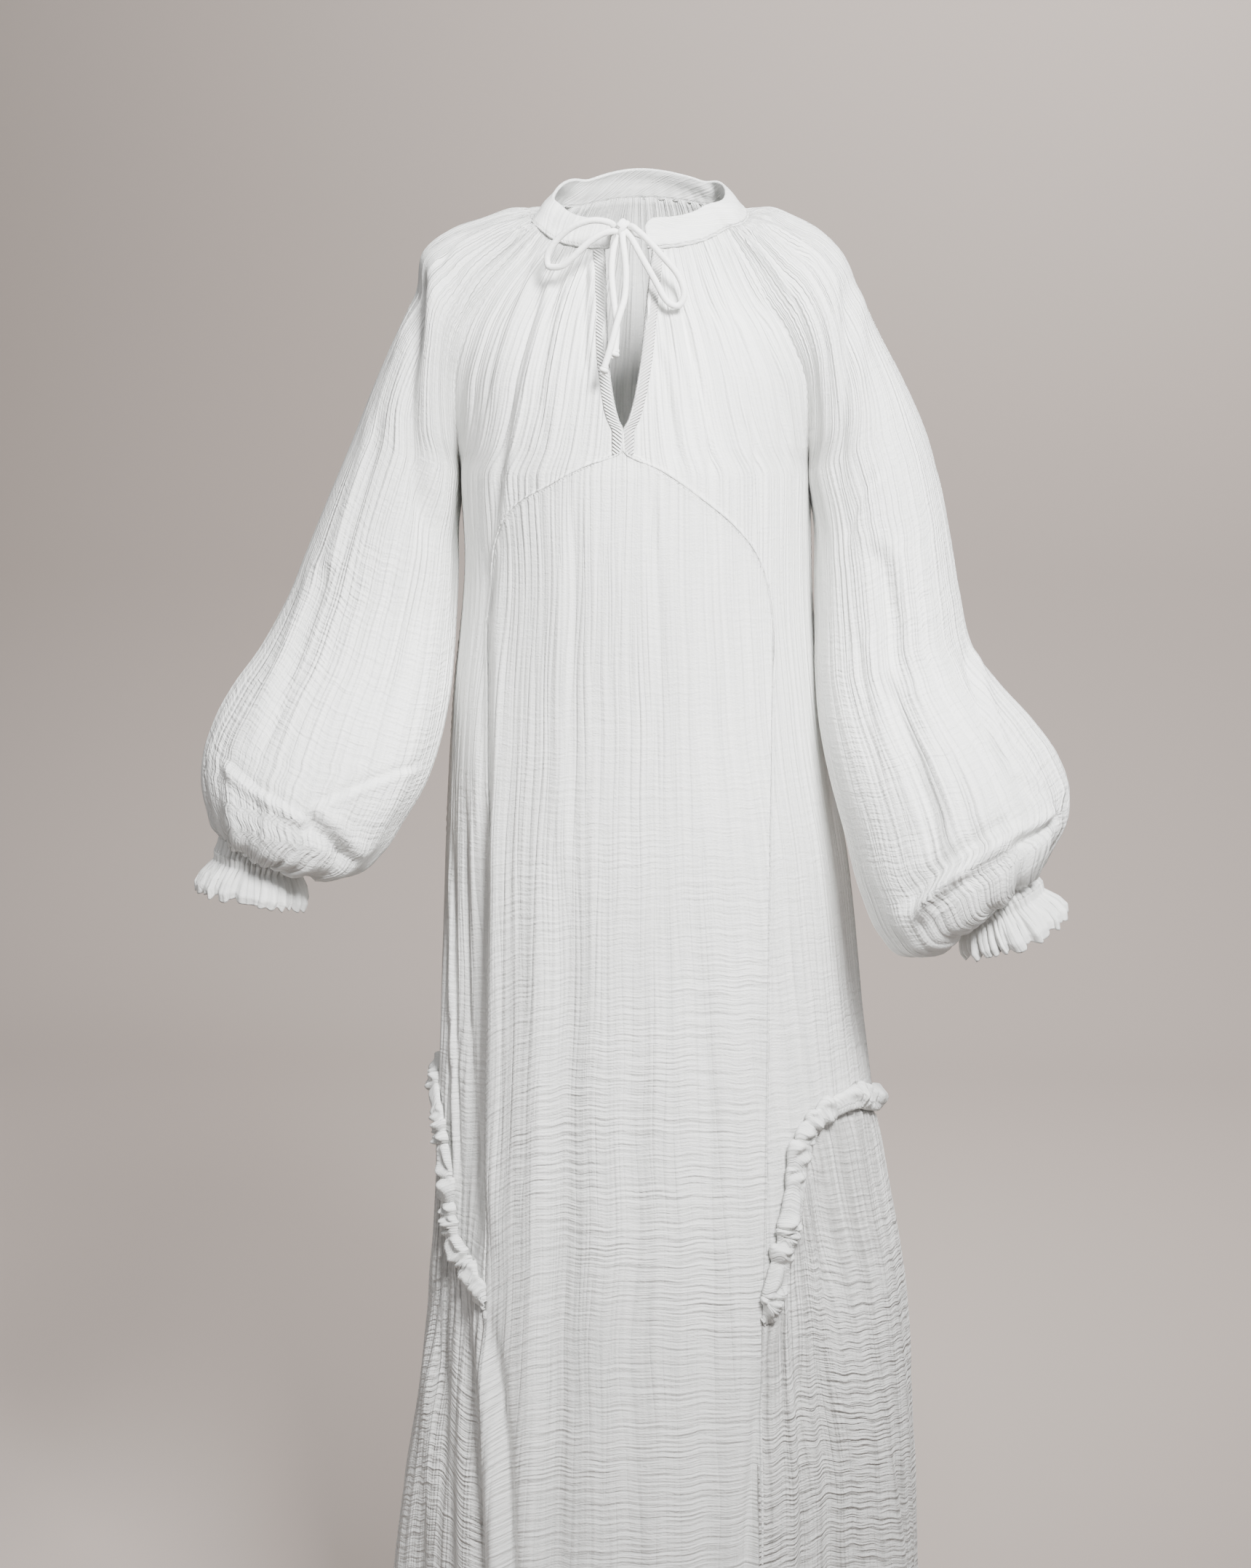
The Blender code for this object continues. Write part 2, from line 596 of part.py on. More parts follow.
def sheet(name, points, wall, material, closed_rows=0):
    """A grid of points as cloth. The last rows can be closed into rings."""
    rows, count = points.shape[:2]
    mesh = bpy.data.meshes.new(name)
    form = bmesh.new()
    bmesh.ops.create_grid(form, x_segments=count - 1, y_segments=rows - 1, size=1.0)
    form.verts.ensure_lookup_table()
    for vertex, point in zip(form.verts, points.reshape(-1, 3)):
        vertex.co = point
    if closed_rows:
        closed = range(rows - closed_rows, rows)
        ends = [form.verts[row * count + end] for row in closed for end in (0, count - 1)]
        bmesh.ops.remove_doubles(form, verts=ends, dist=1e-6)
    form.to_mesh(mesh)
    form.free()
    mesh.shade_smooth()
    obj = place(bpy.data.objects.new(name, mesh), material)
    thicken = obj.modifiers.new("Cloth", "SOLIDIFY")
    thicken.thickness = wall
    thicken.offset = 0.0
    return obj


def evenly(points, steps):
    """A line of points read again at even distances."""
    length = np.concatenate([[0], np.cumsum(np.linalg.norm(np.diff(points, axis=0), axis=1))])
    at = np.linspace(0, length[-1], steps + 1)
    return np.stack([np.interp(at, length, points[:, axis]) for axis in range(3)], -1)


def softened(line, times):
    """A line with its corners averaged away, its two ends kept."""
    for _ in range(times):
        line[1:-1] = (line[:-2] + 2 * line[1:-1] + line[2:]) / 4
    return line


def neck_line(sheets):
    """The top edges of the pieces in order, from the wearer's right slit edge round the back."""
    line = np.vstack(
        [
            sheets["front_right"][0],
            sheets["sleeve_right"][0],
            sheets["back"][0],
            sheets["sleeve_left"][0][::-1],
            sheets["front_left"][0][::-1],
        ]
    )
    first = line[0] + unit(line[0] - line[1]) * BAND_PAST_SLIT
    last = line[-1] + unit(line[-1] - line[-2]) * BAND_PAST_SLIT
    return softened(evenly(np.vstack([first, line, last]), BAND_STEPS), 1)


def band_points(sheets):
    """Standing band on the neck edges, with a round corner at each end."""
    line = neck_line(sheets)
    up = unit(np.array((0.0, 0.0, 1.0)) - line * (*BAND_LEAN, 0.0))
    steps = np.minimum(np.arange(len(line)), np.arange(len(line))[::-1])
    height = BAND_HEIGHT * np.sqrt(1 - (1 - np.clip((steps + 0.8) / 3.0, 0, 1)) ** 2)
    base = line + up * BAND_CLEAR
    return np.stack([base + up * height[:, None] * part for part in (0.0, 0.5, 1.0)])


def binding_points(side):
    """Bias strip on the slit edge, laid on the side front and moved out."""
    edge_x = smooth(SLIT, "z", "half", SLIT_Z)
    rows = []
    z = SLIT_Z.copy()
    z[0] -= SEAM_GAP
    z[-1] += 0.002
    for x in (edge_x + SEAM_GAP / 2, edge_x + BINDING_WIDTH / 2, edge_x + BINDING_WIDTH):
        points, outward = body_surface(share_at(x, z, side), z, -1)
        rows.append(points + outward * (WALL / 2 + 2.5 * SEAM_GAP + TRIM_WALL / 2))
    return np.array(rows)


def ruffle_points(side):
    """Gathered frill on the seam over a flounce, from its front end round to its back end."""
    steps = between(0, RUFFLE_STEPS, 8 * RUFFLE_STEPS)
    start = share_at(PRINCESS_X, FRONT_RUFFLE_Z, side)
    name = "left" if side > 0 else "right"
    share = start + (side - start) * smooth(RUFFLE, "step", name + "_way", steps)
    z = smooth(RUFFLE, "step", name + "_z", steps)
    front, _ = body_surface(share, z, -1)
    back, _ = body_surface(share, z, 1)
    line = evenly(np.vstack([front, back[-2::-1]]), 2 * RUFFLE_WAVES)
    along = unit(np.gradient(line, axis=0))
    outward = unit(line * (1.0, 1.6, 0.0))
    outward = unit(outward - (outward * along).sum(-1, keepdims=True) * along)
    down = unit(np.cross(outward, along)) * side
    waves = np.where(np.arange(len(line)) % 2, 1.0, -1.0)[:, None]
    base = line + outward * (WALL / 2 + TRIM_WALL / 2 + 2 * SEAM_GAP)
    body = base + outward * 0.0075 + down * (0.0055 + 0.0012 * waves)
    tip = base + outward * (0.0085 + 0.0020 * waves) + down * (0.0150 - 0.0030 * waves)
    return np.stack([base, body, tip])


def smooth_route(points, steps):
    """A route through hand-placed points, read from a smooth curve."""
    points = np.array(points)
    table = {"at": np.arange(len(points), dtype=float)}
    for axis, name in enumerate("xyz"):
        table[name] = points[:, axis]
    at = np.linspace(0, len(points) - 1, 12 * len(points))
    fine = np.stack([smooth(table, "at", name, at) for name in "xyz"], -1)
    return evenly(softened(fine, 20), steps)


def cord(name, points, material):
    """A round cord along a route, a point to every two and a half diameters or so."""
    route = np.array(points)
    length = np.linalg.norm(np.diff(route, axis=0), axis=1).sum()
    steps = max(2, round(length / (1.6 * CORD_DIAMETER)))
    line = smooth_route(points, steps)
    curve = bpy.data.curves.new(name, "CURVE")
    curve.dimensions = "3D"
    curve.bevel_depth = CORD_DIAMETER / 2
    curve.bevel_resolution = 2
    curve.use_fill_caps = True
    spline = curve.splines.new("POLY")
    spline.points.add(len(line) - 1)
    for target, point in zip(spline.points, line):
        target.co = (*point, 1.0)
    return place(bpy.data.objects.new(name, curve), material)


def knot(name, centre, size, material):
    """A tight knot as one rounded solid."""
    bpy.ops.mesh.primitive_uv_sphere_add(segments=12, ring_count=8, radius=0.5, location=centre)
    obj = bpy.context.object
    obj.name = obj.data.name = name
    obj.scale = size
    bpy.ops.object.transform_apply(location=False, rotation=False, scale=True)
    obj.data.shade_smooth()
    return place(obj, material)


def build():
    muslin = cotton("muslin", (0.80, 0.82, 0.80), 0.95)
    bias = cotton("bias_cotton", (0.82, 0.84, 0.82), 0.90)
    sheets = {
        "front_right": front_points(-1),
        "front_left": front_points(1),
        "front_panel": panel_points(),
        "back": back_points(),
        "inset_right": inset_points(-1),
        "inset_left": inset_points(1),
        "sleeve_right": sleeve_points(-1),
        "sleeve_left": sleeve_points(1),
    }
    band = band_points(sheets)
    sleeve_setback(sheets["sleeve_right"], -1)
    sleeve_setback(sheets["sleeve_left"], 1)
    for name, points in sheets.items():
        closed = len(points) - RAGLAN_ROWS if name.startswith("sleeve") else 0
        sheet(name, points, WALL, muslin, closed)
    sheet("neck_band", band, BAND_WALL, muslin)
    for side, name in ((-1, "right"), (1, "left")):
        cuff = cuff_points(side)
        sheet("cuff_" + name, cuff, WALL, muslin, len(cuff))
        sheet("ruffle_" + name, ruffle_points(side), TRIM_WALL, muslin)
        sheet("slit_binding_" + name, binding_points(side), TRIM_WALL, bias)
    knot("tie_knot", TIE_KNOT, KNOT_SIZE, bias)
    for name, centre in TIE_TIPS.items():
        knot(name, centre, TIP_SIZE, bias)
    for name, route in TIE_ROUTES.items():
        cord(name, route, bias)


for old in list(bpy.data.objects):
    bpy.data.objects.remove(old)
DRESS = collection_named("kaftan_dress")
build()
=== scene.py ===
"""Looks of the long kaftan dress: fine cloth, gathers, seams, cords, lights and camera.

Metres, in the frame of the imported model: +Z up, the front faces -Y and +X is the
wearer's left side.
"""

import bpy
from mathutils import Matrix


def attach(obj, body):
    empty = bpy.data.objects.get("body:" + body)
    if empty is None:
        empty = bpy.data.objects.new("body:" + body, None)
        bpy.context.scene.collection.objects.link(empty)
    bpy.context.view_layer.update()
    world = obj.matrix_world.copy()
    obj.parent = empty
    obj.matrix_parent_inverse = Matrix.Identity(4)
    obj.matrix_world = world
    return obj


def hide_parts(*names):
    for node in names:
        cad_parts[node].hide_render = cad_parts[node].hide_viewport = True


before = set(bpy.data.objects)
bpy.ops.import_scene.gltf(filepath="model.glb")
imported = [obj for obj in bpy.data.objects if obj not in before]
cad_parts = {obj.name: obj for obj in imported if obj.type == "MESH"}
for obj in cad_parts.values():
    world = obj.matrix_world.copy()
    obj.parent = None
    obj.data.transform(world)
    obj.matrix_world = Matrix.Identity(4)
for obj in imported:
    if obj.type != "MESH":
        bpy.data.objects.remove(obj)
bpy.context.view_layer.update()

import math
from functools import partial

import bmesh
import bpy
import numpy as np

# Cloth and seams
WALL = 0.0013
BAND_WALL = 0.0024
TRIM_WALL = 0.0011
SEAM_GAP = 0.0003
SEAM_TUCK = 0.0008
SEAM_RIDGE = 0.0016
SEAM_HALF = 0.0030
SEAM_FREE = 0.010
PUCKER_PITCH = 0.0085
PUCKER_HEIGHT = 0.0006
PUCKER_FALL = 0.006
HEM_STITCH = 0.015
HEM_DOUBLED = 0.0005
HEM_DIP = 0.0006
HEM_DIP_HALF = 0.0012

# How far an edge dips to lie under the band, the next piece or the ruffle
UNDER_BAND = 0.0002
UNDER_SEAM = 0.0013
UNDER_RUFFLE = 0.0024

# Levels and widths of the body, as in the solids
NECK_FRONT_Z = -0.035
NECK_BACK_Z = 0.015
UNDERARM_Z = -0.222
SLIT_END_Z = -0.183
ARCH_PEAK_Z = -0.199
ARCH_FOOT_Z = -0.342
FRONT_RUFFLE_Z = -0.932
BACK_CREST_Z = -0.705
HEM_Z = -1.380
PRINCESS_X = 0.121
FLANK_X = -0.148
SLIT_CLOSED = 0.0004

# Trims
BAND_HEIGHT = 0.0270
BAND_LEAN = (10.0, 6.0)
BAND_PAST_SLIT = 0.005
BAND_CLEAR = -0.0006
BINDING_WIDTH = 0.008
CORD_DIAMETER = 0.0054
RUFFLE_WAVES = 34
RUFFLE_FLAT_Z = -0.808
RUFFLE_HEIGHT = 0.0060
RUFFLE_PUFF = 0.0048
RUFFLE_WIDTH = 0.0175
RUFFLE_SPREAD = 0.0065
CUFF_WAVES = 21
SIDE_NAMES = {1: "left", -1: "right"}

# Rows and columns of the solids' grids
SLIT_ROWS = 6
ARCH_ROWS = 6
PRINCESS_ROWS = 10
RAGLAN_ROWS = 8
RUFFLE_STEPS = 12
HEM_ROWS = 7
SIDE_ROWS = SLIT_ROWS + ARCH_ROWS + PRINCESS_ROWS - RAGLAN_ROWS
BACK_COLUMNS = 16

# Rows and columns of the fine cloth
FRONT_GRID = (284, 70)
PANEL_GRID = (370, 84)
BACK_GRID = (280, 100)
FLOUNCE_GRID = (136, 140)
SLEEVE_GRID = (222, 122)
CUFF_GRID = (34, 300)

# Steps along the trims, and how often their lines are softened
RUFFLE_LINE = (620, 24)
BAND_LINE = (300, 24)
CORD_SOFTENED = 20
CORD_STEPS = 130

# Camera of the photo
CAMERA_PLACE = (0.1623, -2.1637, -0.1475)
CAMERA_TURN = 4.5
CAMERA_PITCH = 9.0
CAMERA_LENS = 57.5
CAMERA_SENSOR = 36.0
CAMERA_SEES = 50.0

# Floor: its ends in front and behind, the radius of its bend up into the wall and the
# steps in it, how high the wall goes, half its width, and how far below the hem it lies
FLOOR_FRONT = -4.0
FLOOR_BACK = 2.6
FLOOR_BEND = 0.9
FLOOR_BENDS = 12
ROOM_WALL_TOP = 5.0
FLOOR_HALF = 7.0
FLOOR_BELOW_HEM = 0.09

# How far down the tight, the middle and the wide pleats of a gather die away
TIGHT_FALL = 0.026
MIDDLE_FALL = 0.075
WIDE_FALL = 0.190

# Gathers of each piece: the pleats across it, how high they stand, their seed, and
# how far down they run against those of the body
GATHERS = {
    "front": (27, 0.0020, 11, 1.0),
    "back": (19, 0.0026, 51, 1.0),
    "flounce": (34, 0.0036, 61, 1.0),
    "sleeve": (24, 0.0024, 81, 1.0),
    "wrist": (36, 0.0060, 87, 0.55),
}

# Ripples down each piece: how many lie across it, how high, and the seed they start from
RIPPLES = {
    "front": ((9, 0.0008, 21), (23, 0.0005, 31)),
    "flank": ((34, 0.0013, 37),),
    "panel_broad": ((8, 0.0007, 41),),
    "panel_fine": ((23, 0.0006, 43),),
    "back": ((6, 0.0014, 53), (14, 0.0007, 57)),
    "flounce": ((11, 0.0026, 67), (24, 0.0006, 71)),
    "sleeve": ((13, 0.0009, 91), (34, 0.0006, 97)),
}

# Seeds of the puckers along each piece's seams
SEAM_SEEDS = {"front": 3, "panel": 8, "back": 15, "flounce": 23, "sleeve": 5}

# Cross crinkles of the body's pieces, which also add painted shade to their
# troughs: how much they show at the top, how much more below, the height where
# that starts, and the length over which it comes in
WEFTS = {
    "front": (0.10, 0.35, -0.35, 0.45),
    "panel": (0.12, 0.60, -0.30, 0.55),
    "back": (0.12, 0.55, -0.45, 0.50),
}

# Widths of the cloth that the maps of the pieces lie on, and how far along it each
# piece of the body is cut
BODY_HALF_CUT = 0.2
CUT_WIDTHS = {"flounce": 0.38, "sleeve": 0.44, "cuff": 0.30, "ruffle": 1.0}
CUT_SHIFTS = {"front": 0.31, "panel": 0.0, "back": 0.9}

# Fine gathers that stand beside the wearer's right side seam
FLANK_HALF = 0.018
FLANK_TOP_Z = -0.35
FLANK_FADE = 0.3

# Swag of the middle front's cross crinkles towards its right long seam
SWAG_DEPTH = 0.042
SWAG_REACH = 0.036

# Swells between the long crinkles, in radians of their sine for each metre across,
# and ribs of the binding for each metre
SWELL_RATE = 350.0
BINDING_RIBS = 330

# Colours in linear light
COTTON_LIGHT = (0.875, 0.872, 0.852)
# Painted shade mixed into the cotton's crinkle troughs; the flounces' is darker and stands in for
# the shade on the lower skirt
COTTON_PAINTED_SHADE = (0.715, 0.722, 0.705)
FLOUNCE_PAINTED_SHADE = (0.430, 0.425, 0.410)
BIAS_LIGHT = (0.880, 0.878, 0.860)
# Painted shade for the grooves between the binding's ribs
BIAS_PAINTED_SHADE = (0.640, 0.640, 0.620)
BACKDROP = (0.37, 0.32, 0.29)
ROOM_COLOUR = (0.98, 0.985, 1.0)
ROOM_STRENGTH = 0.28

# Muslins: how deep their crinkles are, how far from the seam their stitches run
# where they have them, and the painted shade that darkens their crinkle troughs
MUSLINS = {
    "panel": (0.0012, 0.0022, COTTON_PAINTED_SHADE),
    "body": (0.0013, None, COTTON_PAINTED_SHADE),
    "sleeve": (0.0017, None, COTTON_PAINTED_SHADE),
    "band": (0.0005, 0.0020, COTTON_PAINTED_SHADE),
    "frill": (0.0008, 0.0125, COTTON_PAINTED_SHADE),
    "flounce": (0.0017, None, FLOUNCE_PAINTED_SHADE),
}

# Lights: place, what they are aimed at, size, power in watts and spread in degrees
LIGHTS = {
    "key": ((0.64, -1.42, 0.84), (0.0, 0.0, -0.34), (0.6, 0.6), 20.5, 60.0),
    "fill": ((-2.3, -1.3, 0.4), (0.0, 0.0, -0.3), (1.2, 1.6), 12.0, 180.0),
    "side_fill": ((2.3, -1.0, 0.2), (0.0, 0.0, -0.5), (1.2, 1.6), 6.5, 180.0),
    "top": ((0.1, -0.5, 2.3), (0.0, 0.0, -0.3), (1.6, 1.4), 44.0, 180.0),
    "wall": ((0.9, 1.0, 1.6), (0.4, 3.5, 0.3), (1.6, 1.6), 200.0, 180.0),
}


def columns(names, rows):
    """The columns of a table, each under its name."""
    return {name: np.array([row[i] for row in rows]) for i, name in enumerate(names)}


# Sections of the body from the neck to the hem. The widths are half widths on
# each side, the depths run from the middle plane, and an edge is the depth of
# the raglan or side seam. The turn is the part of a quarter ellipse used, in degrees.
BODY = columns(
    ("z", "left", "right", "front", "front_edge", "back", "back_edge", "turn"),
    (
        (0.020, 0.060, 0.047, 0.054, 0.036, 0.064, 0.046, 42.0),
        (0.005, 0.070, 0.058, 0.059, 0.040, 0.068, 0.050, 42.0),
        (-0.018, 0.080, 0.0755, 0.065, 0.046, 0.075, 0.055, 42.0),
        (-0.035, 0.089, 0.088, 0.071, 0.050, 0.080, 0.059, 42.0),
        (-0.075, 0.111, 0.120, 0.090, 0.058, 0.090, 0.061, 44.0),
        (-0.105, 0.131, 0.136, 0.103, 0.059, 0.095, 0.057, 48.0),
        (-0.150, 0.147, 0.148, 0.118, 0.046, 0.100, 0.044, 58.0),
        (-0.195, 0.149, 0.149, 0.127, 0.024, 0.102, 0.022, 76.0),
        (-0.222, 0.149, 0.149, 0.131, 0.000, 0.102, 0.000, 90.0),
        (-0.290, 0.150, 0.146, 0.132, 0.000, 0.099, 0.000, 90.0),
        (-0.420, 0.161, 0.158, 0.128, 0.000, 0.101, 0.000, 90.0),
        (-0.560, 0.187, 0.166, 0.132, 0.000, 0.114, 0.000, 90.0),
        (-0.750, 0.208, 0.171, 0.141, 0.000, 0.132, 0.000, 90.0),
        (-0.950, 0.243, 0.182, 0.158, 0.000, 0.152, 0.000, 90.0),
        (-1.150, 0.256, 0.212, 0.172, 0.000, 0.168, 0.000, 90.0),
        (-1.380, 0.264, 0.232, 0.186, 0.000, 0.186, 0.000, 90.0),
    ),
)

# Half width of the neck slit
SLIT = columns(
    ("z", "half"),
    (
        (NECK_FRONT_Z, 0.0205),
        (-0.075, 0.0175),
        (-0.120, 0.0145),
        (-0.155, 0.0095),
        (-0.174, 0.0045),
        (SLIT_END_Z, SLIT_CLOSED),
        (ARCH_PEAK_Z, SLIT_CLOSED),
    ),
)

# Arched seam over the middle panel, from its peak to the long seams
ARCH = columns(
    ("x", "left_z", "right_z"),
    (
        (SLIT_CLOSED, ARCH_PEAK_Z, ARCH_PEAK_Z),
        (0.030, -0.2140, -0.2110),
        (0.060, -0.2350, -0.2265),
        (0.088, -0.2590, -0.2425),
        (0.105, -0.2810, -0.2660),
        (0.115, -0.3060, -0.3010),
        (PRINCESS_X, ARCH_FOOT_Z, ARCH_FOOT_Z),
    ),
)

# Seam over each flounce: the part of the way from the long seam to the side seam
RUFFLE = columns(
    ("step", "left_way", "left_z", "right_way", "right_z"),
    (
        (0, 0.000, FRONT_RUFFLE_Z, 0.000, FRONT_RUFFLE_Z),
        (1, 0.050, -0.924, 0.110, -0.926),
        (2, 0.080, -0.905, 0.220, -0.918),
        (3, 0.110, -0.882, 0.325, -0.908),
        (4, 0.155, -0.861, 0.410, -0.895),
        (5, 0.190, -0.838, 0.465, -0.877),
        (6, 0.225, -0.814, 0.500, -0.855),
        (7, 0.260, -0.791, 0.532, -0.832),
        (8, 0.320, -0.775, 0.580, -0.810),
        (9, 0.430, -0.766, 0.650, -0.789),
        (10, 0.590, -0.763, 0.750, -0.774),
        (11, 0.790, -0.772, 0.870, -0.763),
        (12, 1.000, -0.782, 1.000, -0.756),
    ),
)

# Top of a sleeve, a row for each ring down to the underarm: the heights of its
# two raglan seams, the outermost point on each side, and the half depth
SLEEVE_HEAD = columns(
    ("front_z", "back_z", "left_x", "left_z", "right_x", "right_z", "depth"),
    (
        (-0.017, 0.005, 0.094, -0.004, 0.0785, -0.001, 0.052),
        (-0.042, -0.022, 0.112, 0.000, 0.104, 0.001, 0.057),
        (-0.066, -0.050, 0.135, -0.007, 0.128, -0.006, 0.062),
        (-0.090, -0.078, 0.157, -0.018, 0.155, -0.015, 0.066),
        (-0.112, -0.105, 0.176, -0.037, 0.178, -0.032, 0.068),
        (-0.140, -0.135, 0.189, -0.065, 0.187, -0.068, 0.069),
        (-0.168, -0.165, 0.205, -0.098, 0.202, -0.100, 0.069),
        (-0.197, -0.195, 0.226, -0.137, 0.221, -0.140, 0.069),
        (UNDERARM_Z, UNDERARM_Z, 0.245, -0.178, 0.241, -0.188, 0.069),
    ),
)

# The rest of a sleeve, a row for each closed ring down to the cuff
RING = ("inner_x", "inner_z", "outer_x", "outer_z", "centre_y", "depth")
LEFT_SLEEVE = columns(
    RING,
    (
        (0.156, -0.262, 0.259, -0.222, -0.004, 0.069),
        (0.157, -0.305, 0.269, -0.268, -0.010, 0.069),
        (0.158, -0.350, 0.278, -0.318, -0.018, 0.070),
        (0.159, -0.392, 0.290, -0.366, -0.030, 0.072),
        (0.163, -0.430, 0.312, -0.395, -0.044, 0.075),
        (0.172, -0.472, 0.338, -0.422, -0.060, 0.079),
        (0.185, -0.517, 0.358, -0.449, -0.076, 0.082),
        (0.199, -0.566, 0.367, -0.479, -0.090, 0.082),
        (0.215, -0.600, 0.363, -0.501, -0.098, 0.078),
        (0.233, -0.616, 0.354, -0.516, -0.103, 0.067),
        (0.254, -0.612, 0.346, -0.529, -0.106, 0.052),
        (0.269, -0.593, 0.341, -0.539, -0.108, 0.039),
        (0.278, -0.574, 0.339, -0.545, -0.110, 0.031),
    ),
)
RIGHT_SLEEVE = columns(
    RING,
    (
        (0.154, -0.262, 0.259, -0.230, -0.004, 0.069),
        (0.154, -0.300, 0.279, -0.278, -0.010, 0.069),
        (0.155, -0.340, 0.300, -0.330, -0.018, 0.070),
        (0.156, -0.376, 0.321, -0.370, -0.030, 0.072),
        (0.158, -0.410, 0.341, -0.400, -0.044, 0.075),
        (0.164, -0.446, 0.354, -0.428, -0.060, 0.079),
        (0.175, -0.481, 0.360, -0.456, -0.076, 0.082),
        (0.192, -0.511, 0.357, -0.481, -0.090, 0.080),
        (0.209, -0.537, 0.350, -0.500, -0.098, 0.074),
        (0.228, -0.553, 0.345, -0.511, -0.103, 0.063),
        (0.247, -0.556, 0.343, -0.517, -0.106, 0.050),
        (0.263, -0.549, 0.342, -0.521, -0.108, 0.039),
        (0.275, -0.539, 0.342, -0.525, -0.110, 0.031),
    ),
)

# Profile of a cuff from under the sleeve to the edge of its frill: how far it stands
# out, how deep its lobes are, and how deep the elastic's small gathers are
CUFF = columns(
    ("along", "wide", "lobes", "gathers"),
    (
        (-0.0040, 0.0010, 0.0000, 0.0010),
        (0.0030, 0.0008, 0.0003, 0.0013),
        (0.0090, 0.0020, 0.0008, 0.0014),
        (0.0155, 0.0006, 0.0010, 0.0012),
        (0.0180, 0.0022, 0.0022, 0.0010),
        (0.0270, 0.0070, 0.0056, 0.0006),
        (0.0360, 0.0096, 0.0070, 0.0005),
        (0.0430, 0.0086, 0.0056, 0.0003),
    ),
)

# Large folds of the body: where the trough lies, how far it spreads in shares of
# the half width, how deep it is, and the heights between which it fades in and out
FOLDS = columns(
    ("face", "share", "spread", "depth", "top", "bottom"),
    (
        (-1, -0.60, 0.10, 0.0090, -0.45, -1.05),
        (-1, -0.84, 0.10, -0.0040, -0.50, -1.10),
        (-1, 0.88, 0.10, 0.0060, -0.42, -0.74),
        (-1, -0.20, 0.14, 0.0030, -0.70, -1.45),
        (-1, 0.24, 0.16, 0.0035, -0.80, -1.45),
        (1, -0.55, 0.12, 0.0070, -0.40, -1.40),
        (1, 0.05, 0.12, 0.0070, -0.50, -1.45),
        (1, 0.50, 0.12, 0.0065, -0.42, -1.40),
    ),
)
FLOUNCE_SWING = 0.010

# A crease's ridge lies this many half widths beside its trough, and the crease
# fades over these shares of its length at its start and its end. It is read this many
# half widths around its way, and fades where the cloth turns from its face
RIDGE_ASIDE = 1.9
CREASE_START = 0.18
CREASE_END = 0.22
CREASE_REACH = 5
CREASE_FACING = 0.35
